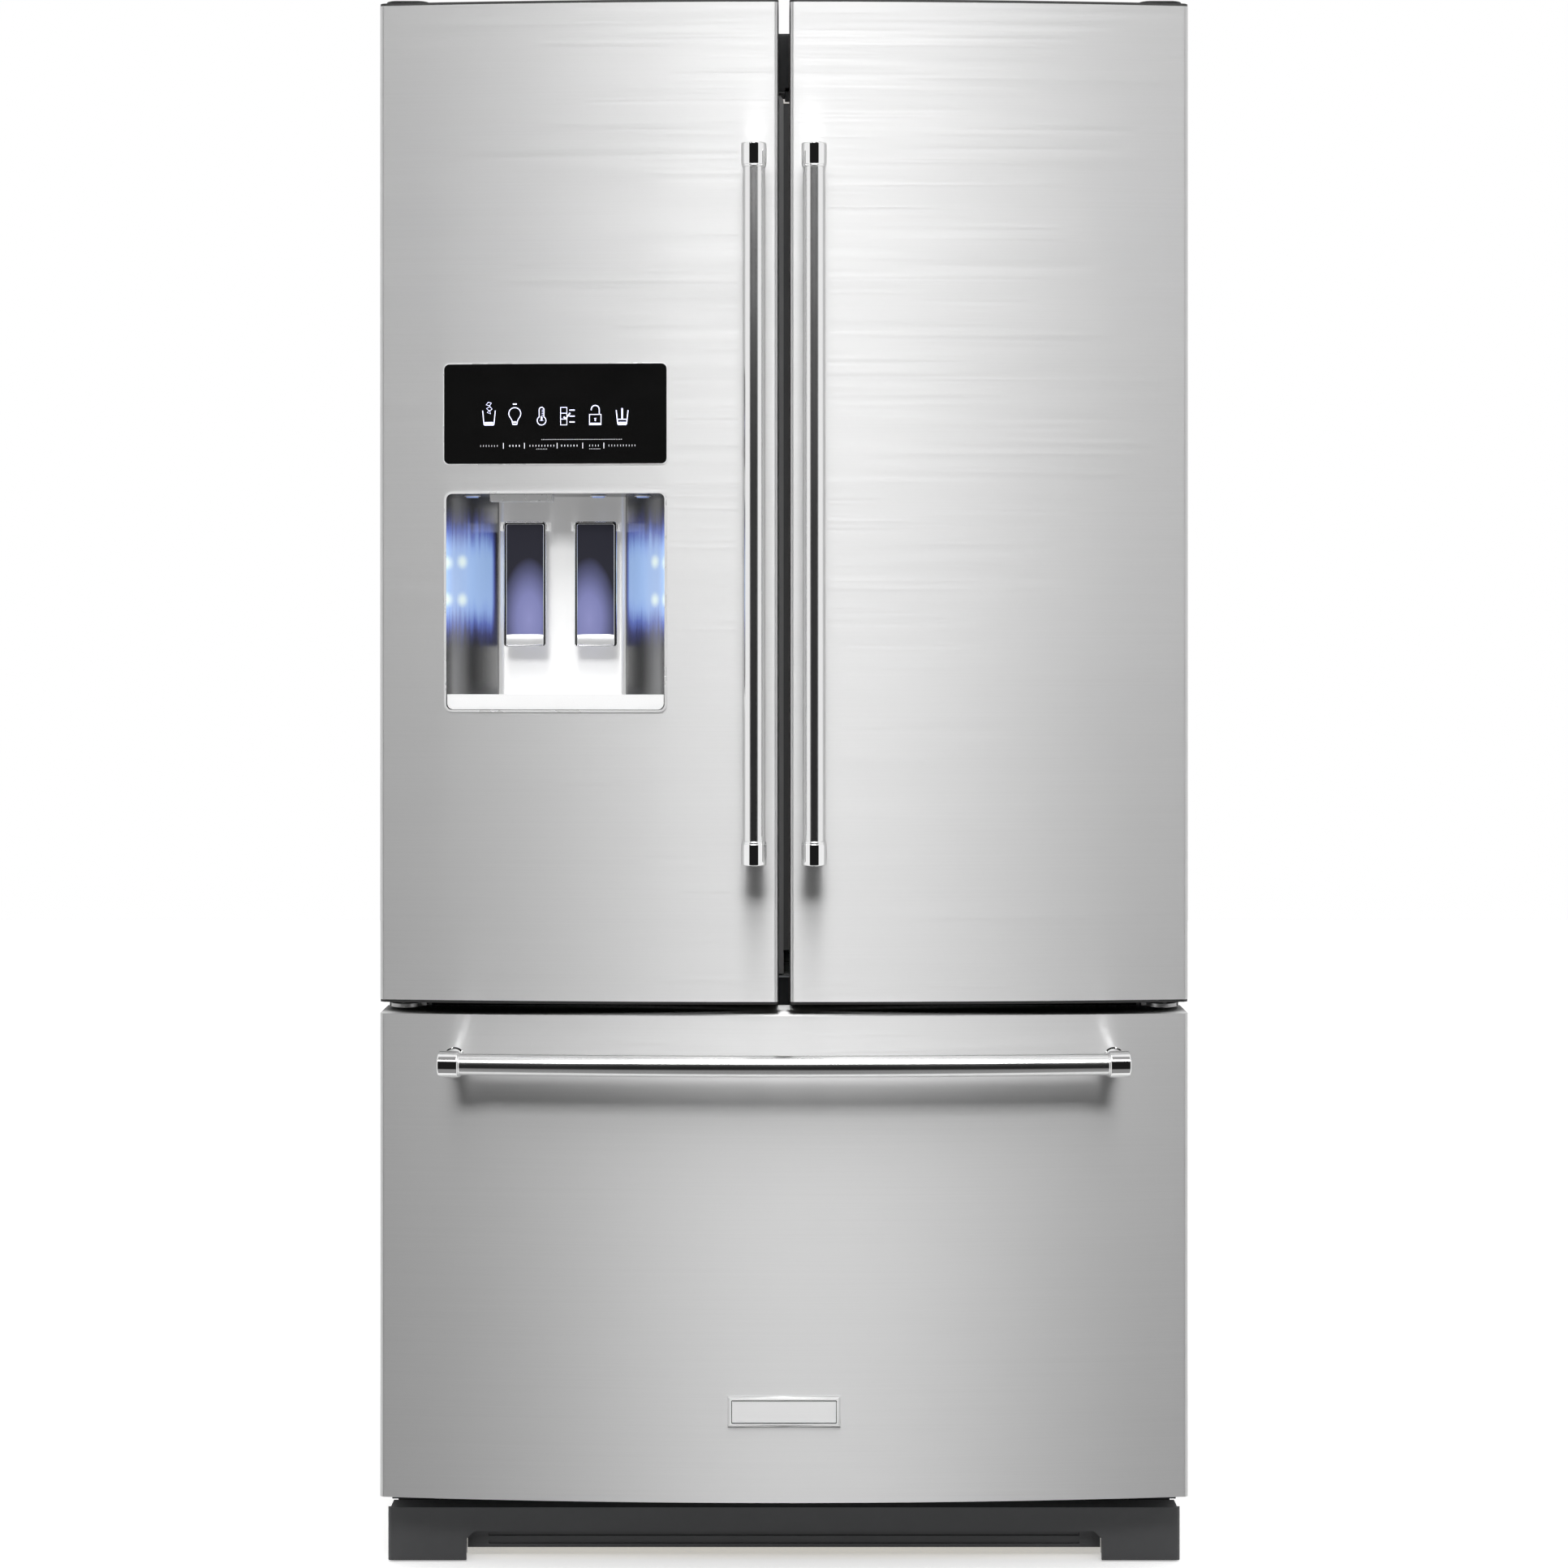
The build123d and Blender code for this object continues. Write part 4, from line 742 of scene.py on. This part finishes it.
def make_tray_grate():
    """A half-moon plate with two rows of slots, lying in the drip tray."""
    low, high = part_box("drip_tray")
    centre_y = bow_y(TRIM_LOW.x) + 2 * MM
    half = (TRIM_HIGH.x - TRIM_LOW.x) / 2 - 6.2 * MM
    depth = high.y - centre_y - 3 * MM
    back = arc(0, 0, 1, 0, 180, 40)
    outline = [(NICHE_X + half * u, centre_y + depth * v) for u, v in back]
    front = [NICHE_X - half + 2 * half * i / 12 for i in range(13)]
    outline += [(x, bow_y(x) + 9.6 * MM) for x in front]
    loops = [outline]
    for row in range(4):
        y = centre_y + 8 * MM + row * SLOT_ROW_PITCH
        count = 7 - row
        for i in range(count):
            x = NICHE_X + (i - (count - 1) / 2) * SLOT_PITCH
            x0, x1 = x - SLOT_HALF_LENGTH, x + SLOT_HALF_LENGTH
            loops.append(rounded(x0, x1, y - SLOT_HALF_WIDTH, y + SLOT_HALF_WIDTH, 1.4 * MM, 1.0))
    top = low.z + 7.8 * MM

    def place(u, v, w):
        return (u, v, top + w)

    grate = plate(loops, 1.6 * MM, 0.3 * MM, place)
    smooth(new_piece(grate, "tray_grate", "drip_tray", "tray_silver"))


def make_lamp_rings():
    """A thin bright ring round each lamp in the niche's ceiling."""
    low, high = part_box("dispenser_lamps")
    ring = lathe(((7.2, 0), (9, -0.6), (9.4, -1.6), (7.6, -1.8), (7.2, -0.8)))
    middle = (low.y + high.y) / 2
    for index, x in enumerate((low.x + LAMP_RADIUS, NICHE_X + SECOND_LAMP_ASIDE, high.x - LAMP_RADIUS)):
        place = Matrix.Translation((x, middle, high.z))
        smooth(new_piece(joined([(ring, place)]), f"lamp_ring_{index}", "left_door", "trim_chrome"))


# ---- handles ----
HANDLE_GAP = 50 * MM  # from the drawer's bowed front to its bar's axis


def collar():
    """A stepped ring where a bar enters its end sleeve."""
    return lathe(((12.05, -2.2), (12.9, -1.8), (13.2, -0.9), (13.2, 0.6), (12.05, 1.0)), 48)


def make_collars():
    ring = collar()
    for side in ("left", "right"):
        low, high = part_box(f"{side}_handle_bar")
        x = (low.x + high.x) / 2
        y = (low.y + high.y) / 2
        bottom = Matrix.Translation((x, y, low.z)) @ Matrix.Rotation(math.pi, 4, "X")
        top = Matrix.Translation((x, y, high.z))
        pair = joined([(ring, bottom), (ring, top)])
        smooth(new_piece(pair, f"{side}_handle_collars", f"{side}_door", "handle_chrome"))
    low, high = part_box("freezer_handle_bar")
    bar_radius = BOW_RADIUS + HANDLE_GAP
    z = (low.z + high.z) / 2
    reach = high.x
    y = BOW_CENTRE - math.sqrt(bar_radius**2 - reach**2)
    yaw = math.asin(reach / bar_radius)
    rings = []
    for side in (-1, 1):
        turn = Matrix.Rotation(side * yaw, 4, "Z") @ Matrix.Rotation(side * math.pi / 2, 4, "Y")
        rings.append((ring, Matrix.Translation((side * reach, y, z)) @ turn))
    smooth(new_piece(joined(rings), "freezer_handle_collars", "freezer_drawer", "handle_chrome"))


def make_badge_border():
    low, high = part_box("badge")
    inset = 4.2 * MM
    edge = 0.8 * MM
    x0, x1 = low.x + inset, high.x - inset
    z0, z1 = low.z + inset, high.z - inset
    outer = rounded(x0, x1, z0, z1, 1.2 * MM, 1.0)
    inner = rounded(x0 + edge, x1 - edge, z0 + edge, z1 - edge, 0.6 * MM, 1.0)
    front = low.y

    def place(u, v, w):
        return (u, front - 0.1 * MM - w, v)

    border = plate((outer, inner), 0.6 * MM, 0.15 * MM, place)
    smooth(new_piece(border, "badge_border", "freezer_drawer", "dark_plastic"))


# ---- fasteners ----
SHEET_STEP = 4 * MM  # from the back's outermost ribs in to the flat sheet
COVER_RIM = 16 * MM
PANEL_RIM = 12 * MM
PANEL_RIM_Z = 30 * MM
PANEL_ROWS = 6
HINGE_COVER_WIDTH = 58.5 * MM


def screw_mesh():
    """A hexagon head on a round flange, its seat at height 0."""
    flange = lathe(((6.2, 0), (6.4, 0.4), (6.0, 1.0), (4.6, 1.3)), 28)
    head = lathe(((4.2, 1.0), (4.2, 3.4), (3.7, 4.1), (2.4, 4.2), (2.2, 3.9)), 6)
    return joined([(flange, Matrix.Identity(4)), (head, Matrix.Identity(4))])


def add_screws(screw, places, name, slot):
    new_piece(joined([(screw, place) for place in places]), name, "cabinet", slot)


def make_screws():
    screw = screw_mesh()
    backwards = Matrix.Rotation(-math.pi / 2, 4, "X")
    low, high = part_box("machine_cover")
    places = []
    for x in (low.x + COVER_RIM, low.x / 2, 0, high.x / 2, high.x - COVER_RIM):
        for z in (low.z + COVER_RIM, high.z - COVER_RIM):
            seat = Matrix.Translation((x, high.y - SHEET_STEP, z))
            places.append(seat @ backwards @ Matrix.Scale(0.7, 4))
    add_screws(screw, places, "machine_cover_screws", "hinge_steel")
    low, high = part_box("rear_panel")
    places = []
    for x in (low.x + PANEL_RIM, high.x - PANEL_RIM):
        for row in range(PANEL_ROWS + 1):
            z = low.z + PANEL_RIM_Z + row * (high.z - low.z - 2 * PANEL_RIM_Z) / PANEL_ROWS
            seat = Matrix.Translation((x, high.y - SHEET_STEP, z))
            places.append(seat @ backwards @ Matrix.Scale(0.8, 4))
    add_screws(screw, places, "rear_panel_screws", "hinge_steel")
    low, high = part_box("hinge_covers")
    middle = high.x - HINGE_COVER_WIDTH / 2
    places = []
    for side in (-1, 1):
        seat = Matrix.Translation((side * middle, high.y - 30 * MM, high.z - 3.4 * MM))
        places.append(seat @ Matrix.Scale(0.75, 4))
    add_screws(screw, places, "hinge_cover_screws", "dark_plastic")


# ---- back and interior ----
BIN_RIMS = {"left": (88, 230), "right": (88, 265, 445, 625)}  # mm above the lowest bin's foot
SHELF_PITCH = 200 * MM
SHELF_COUNT = 3
SHELF_GAP = 4 * MM  # from the middle to each half shelf
SHELF_RIM_TOP = 8 * MM
GUIDE_HALF_WIDTH = 19 * MM


def make_surround():
    """A thin frame of sheet that closes the foam's edge round the machine compartment."""
    low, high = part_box("foam_insulation")
    cover_low, cover_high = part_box("machine_cover")
    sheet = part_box("rear_panel")[0]
    outer = rounded(low.x, high.x, low.z, sheet.z - 0.2 * MM, 1 * MM)
    lap = 12 * MM
    x0, x1 = cover_low.x + lap, cover_high.x - lap
    inner = rounded(x0, x1, low.z + 10 * MM, cover_high.z - lap, 3 * MM)

    def place(u, v, w):
        return (u, high.y + 0.6 * MM + w, v)

    surround = plate((outer, inner), 1.0 * MM, 0.2 * MM, place)
    smooth(new_piece(surround, "machine_room_surround", "cabinet", "rear_sheet"))


def facing(x0, x1, z0, z1, front, depth, corner, toward=-1):
    """A round-edged strip in the x-z plane whose outer face lies at front + toward * depth."""

    def place(u, v, w):
        return (u, front + toward * (depth / 2 + w), v)

    return plate((rounded(x0, x1, z0, z1, corner, 0.1),), depth, min(depth * 0.4, corner * 0.6), place)


def make_guide_face():
    """A dark face on the cabinet's flange, over the guide that folds the mullion."""
    low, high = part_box("cabinet_wrapper")
    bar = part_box("mullion_bar")[1]
    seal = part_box("mullion_seal_lip")[1]
    front = low.y - 0.1 * MM
    reach = GUIDE_HALF_WIDTH
    face = facing(-reach, reach, bar.z + 3 * MM, high.z - 2 * MM, front, 1.0 * MM, 3 * MM)
    tongue = facing(bar.x + 1.5 * MM, reach, seal.z + 1.5 * MM, bar.z + 8 * MM, front, 1.0 * MM, 1 * MM)
    strips = joined([(face, Matrix.Identity(4)), (tongue, Matrix.Identity(4))])
    smooth(new_piece(strips, "mullion_guide_face", "cabinet", "dark_plastic"))


def make_drawer_sheet():
    """The drawer front's inner sheet, in two parts: round the gasket and inside it."""
    low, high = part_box("freezer_drawer_foam")
    seal_low, seal_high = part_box("freezer_gasket")
    gap = 0.4 * MM
    inset = 17.4 * MM
    outer = rounded(low.x + gap, high.x - gap, low.z + gap, high.z - gap, 2 * MM)
    around = rounded(seal_low.x - gap, seal_high.x + gap, seal_low.z - gap, seal_high.z + gap, 2 * MM)
    x0, x1 = seal_low.x + inset, seal_high.x - inset
    inside = rounded(x0, x1, seal_low.z + inset, seal_high.z - inset, 12 * MM)

    def place(u, v, w):
        return (u, high.y + 0.45 * MM + w, v)

    parts = (
        ("freezer_drawer_rim_sheet", (outer, around)),
        ("freezer_drawer_inner_sheet", (inside,)),
    )
    for name, loops in parts:
        sheet = plate(loops, 0.7 * MM, 0.15 * MM, place)
        smooth(new_piece(sheet, name, "freezer_drawer", "white_liner"))


def make_bin_trims():
    """A pale band along each door bin's room-side rim."""
    for side, rims in BIN_RIMS.items():
        low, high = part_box(f"{side}_door_bins")
        x0, x1 = low.x + 6 * MM, high.x - 6 * MM
        strips = []
        for rise in rims:
            rim = low.z + rise * MM
            strip = facing(x0, x1, rim - 16 * MM, rim - 2 * MM, high.y, 1.6 * MM, 5 * MM, 1)
            strips.append((strip, Matrix.Identity(4)))
        smooth(new_piece(joined(strips), f"{side}_bin_trims", f"{side}_door", "frame_plastic"))


def make_shelf_trims():
    """A satin strip along each shelf's front rim."""
    low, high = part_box("shelf_frames")
    shelves = []
    for step in reversed(range(SHELF_COUNT)):
        z = high.z - SHELF_RIM_TOP - step * SHELF_PITCH
        shelves.append((low.x, -SHELF_GAP, z))
        shelves.append((SHELF_GAP, high.x, z))
    shelves.append((low.x, high.x, low.z + 5 * MM))
    strips = []
    for x0, x1, z in shelves:
        strip = facing(x0 + 4 * MM, x1 - 4 * MM, z - 3 * MM, z + 6 * MM, low.y, 1.2 * MM, 3 * MM)
        strips.append((strip, Matrix.Identity(4)))
    smooth(new_piece(joined(strips), "shelf_trims", "cabinet", "tray_silver"))


def make_crisper_trims():
    """A pale pull rail under each crisper's grip, with a humidity slide beside it."""
    for body in ("crisper_left", "crisper_right"):
        low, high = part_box(body)
        x0, x1 = low.x + 10 * MM, high.x - 10 * MM
        rail = facing(x0, x1, high.z - 54 * MM, high.z - 40 * MM, low.y, 2 * MM, 6 * MM)
        smooth(new_piece(rail, body + "_rail", body, "frame_plastic"))
        x = high.x - 58 * MM
        z = high.z - 47 * MM
        track = facing(x - 26 * MM, x + 26 * MM, z - 4 * MM, z + 4 * MM, low.y - 2 * MM, 0.8 * MM, 3.9 * MM)
        smooth(new_piece(track, body + "_slide_track", body, "dark_plastic"))
        knob = facing(x - 13 * MM, x - 3 * MM, z - 6 * MM, z + 6 * MM, low.y - 2.8 * MM, 3.4 * MM, 3 * MM)
        smooth(new_piece(knob, body + "_slide_knob", body, "ice_housing"))


# ---- studio ----
def make_camera():
    data = bpy.data.cameras.new("camera")
    data.sensor_width = 36
    data.lens = CAMERA_LENS
    data.shift_y = CAMERA_SHIFT
    camera = bpy.data.objects.new("camera", data)
    camera.location = (0, DRAWER_LOW.y - CAMERA_DISTANCE, CAMERA_HEIGHT)
    camera.rotation_euler = (math.pi / 2, 0, 0)
    bpy.context.scene.collection.objects.link(camera)
    bpy.context.scene.camera = camera
    bpy.context.scene.view_settings.view_transform = "Standard"


def make_world():
    """White all round, with a dim patch straight ahead of the object, and a soft light above the patch."""
    world = bpy.data.worlds.new("studio")
    bpy.context.scene.world = world
    world.use_nodes = True
    world.node_tree.nodes.clear()
    t = Tree(world.node_tree)
    direction = t.add("TexCoord").outputs["Generated"]
    x, y, z = t.add("SeparateXYZ", None, Vector=direction).outputs
    degrees = 180 / math.pi
    turn = t.math("MULTIPLY", t.math("ARCTAN2", x, t.math("MULTIPLY", y, -1.0)), degrees)
    rise = t.math("MULTIPLY", t.math("ARCSINE", z), degrees)
    side = t.step(t.math("ABSOLUTE", turn), *PATCH_SIDE)
    up = t.step(rise, *PATCH_TOP)
    down = t.step(t.math("MULTIPLY", rise, -1.0), *PATCH_BOTTOM)
    off_middle = t.math("ABSOLUTE", t.math("SUBTRACT", turn, STRIP_MIDDLE))
    strip = t.math("SUBTRACT", 1.0, t.step(off_middle, 0.0, STRIP_REACH))
    overhead = t.math("ADD", t.math("MULTIPLY", strip, STRIP_LEVEL), CEILING_LEVEL)
    ceiling = t.math("MULTIPLY", overhead, up)
    ahead = t.math("ADD", t.math("ADD", ceiling, t.math("MULTIPLY", down, FLOOR_LEVEL)), PATCH_LEVEL)
    studio = t.blend(side, ahead, grey(SIDE_LEVEL))
    seen = t.add("LightPath").outputs["Is Camera Ray"]
    color = t.blend(seen, studio, WHITE)
    background = t.add("Background", None, Color=color)
    t.add("OutputWorld", None, Surface=background.outputs["Background"])


def make_softbox():
    """A wide soft light over the camera."""
    data = bpy.data.lights.new("softbox", "AREA")
    data.shape = "RECTANGLE"
    data.size, data.size_y = SOFTBOX_SIZE
    data.spread = math.radians(SOFTBOX_SPREAD)
    data.energy = SOFTBOX_POWER
    light = bpy.data.objects.new("softbox", data)
    light.location = SOFTBOX_PLACE
    light.rotation_euler = (Vector(SOFTBOX_AIM) - Vector(SOFTBOX_PLACE)).to_track_quat("-Z", "Y").to_euler()
    light.visible_camera = False
    bpy.context.scene.collection.objects.link(light)


def make_floor():
    bm = bmesh.new()
    bmesh.ops.create_grid(bm, x_segments=8, y_segments=8, size=FLOOR_SIZE / 2)
    mesh = bpy.data.meshes.new("floor")
    bm.to_mesh(mesh)
    bm.free()
    s = Surface("floor_paint", grey(0.9), 0.8)
    s.shade(s.noise(2.0), 0.01)
    s.set("Emission Color", WHITE)
    s.shader.inputs["Emission Strength"].default_value = FLOOR_GLOW
    mesh.materials.append(s.material)
    floor = bpy.data.objects.new("floor", mesh)
    bpy.context.scene.collection.objects.link(floor)
    floor.visible_glossy = False


make_camera()
make_world()
make_softbox()
make_floor()
MATERIALS = make_materials()
ICON_LIGHT = lit("icon_light_blue", (0.72, 0.74, 1.0, 1), 1.3, 900.0).material
PRINT_WHITE = lit("panel_print", (0.8, 0.8, 0.86, 1), 0.75, 900.0).material
dress_nodes()
make_panel()
make_paddle_frames()
make_tray_grate()
make_lamp_rings()
make_collars()
make_badge_border()
make_screws()
make_surround()
make_guide_face()
make_drawer_sheet()
make_bin_trims()
make_shelf_trims()
make_crisper_trims()
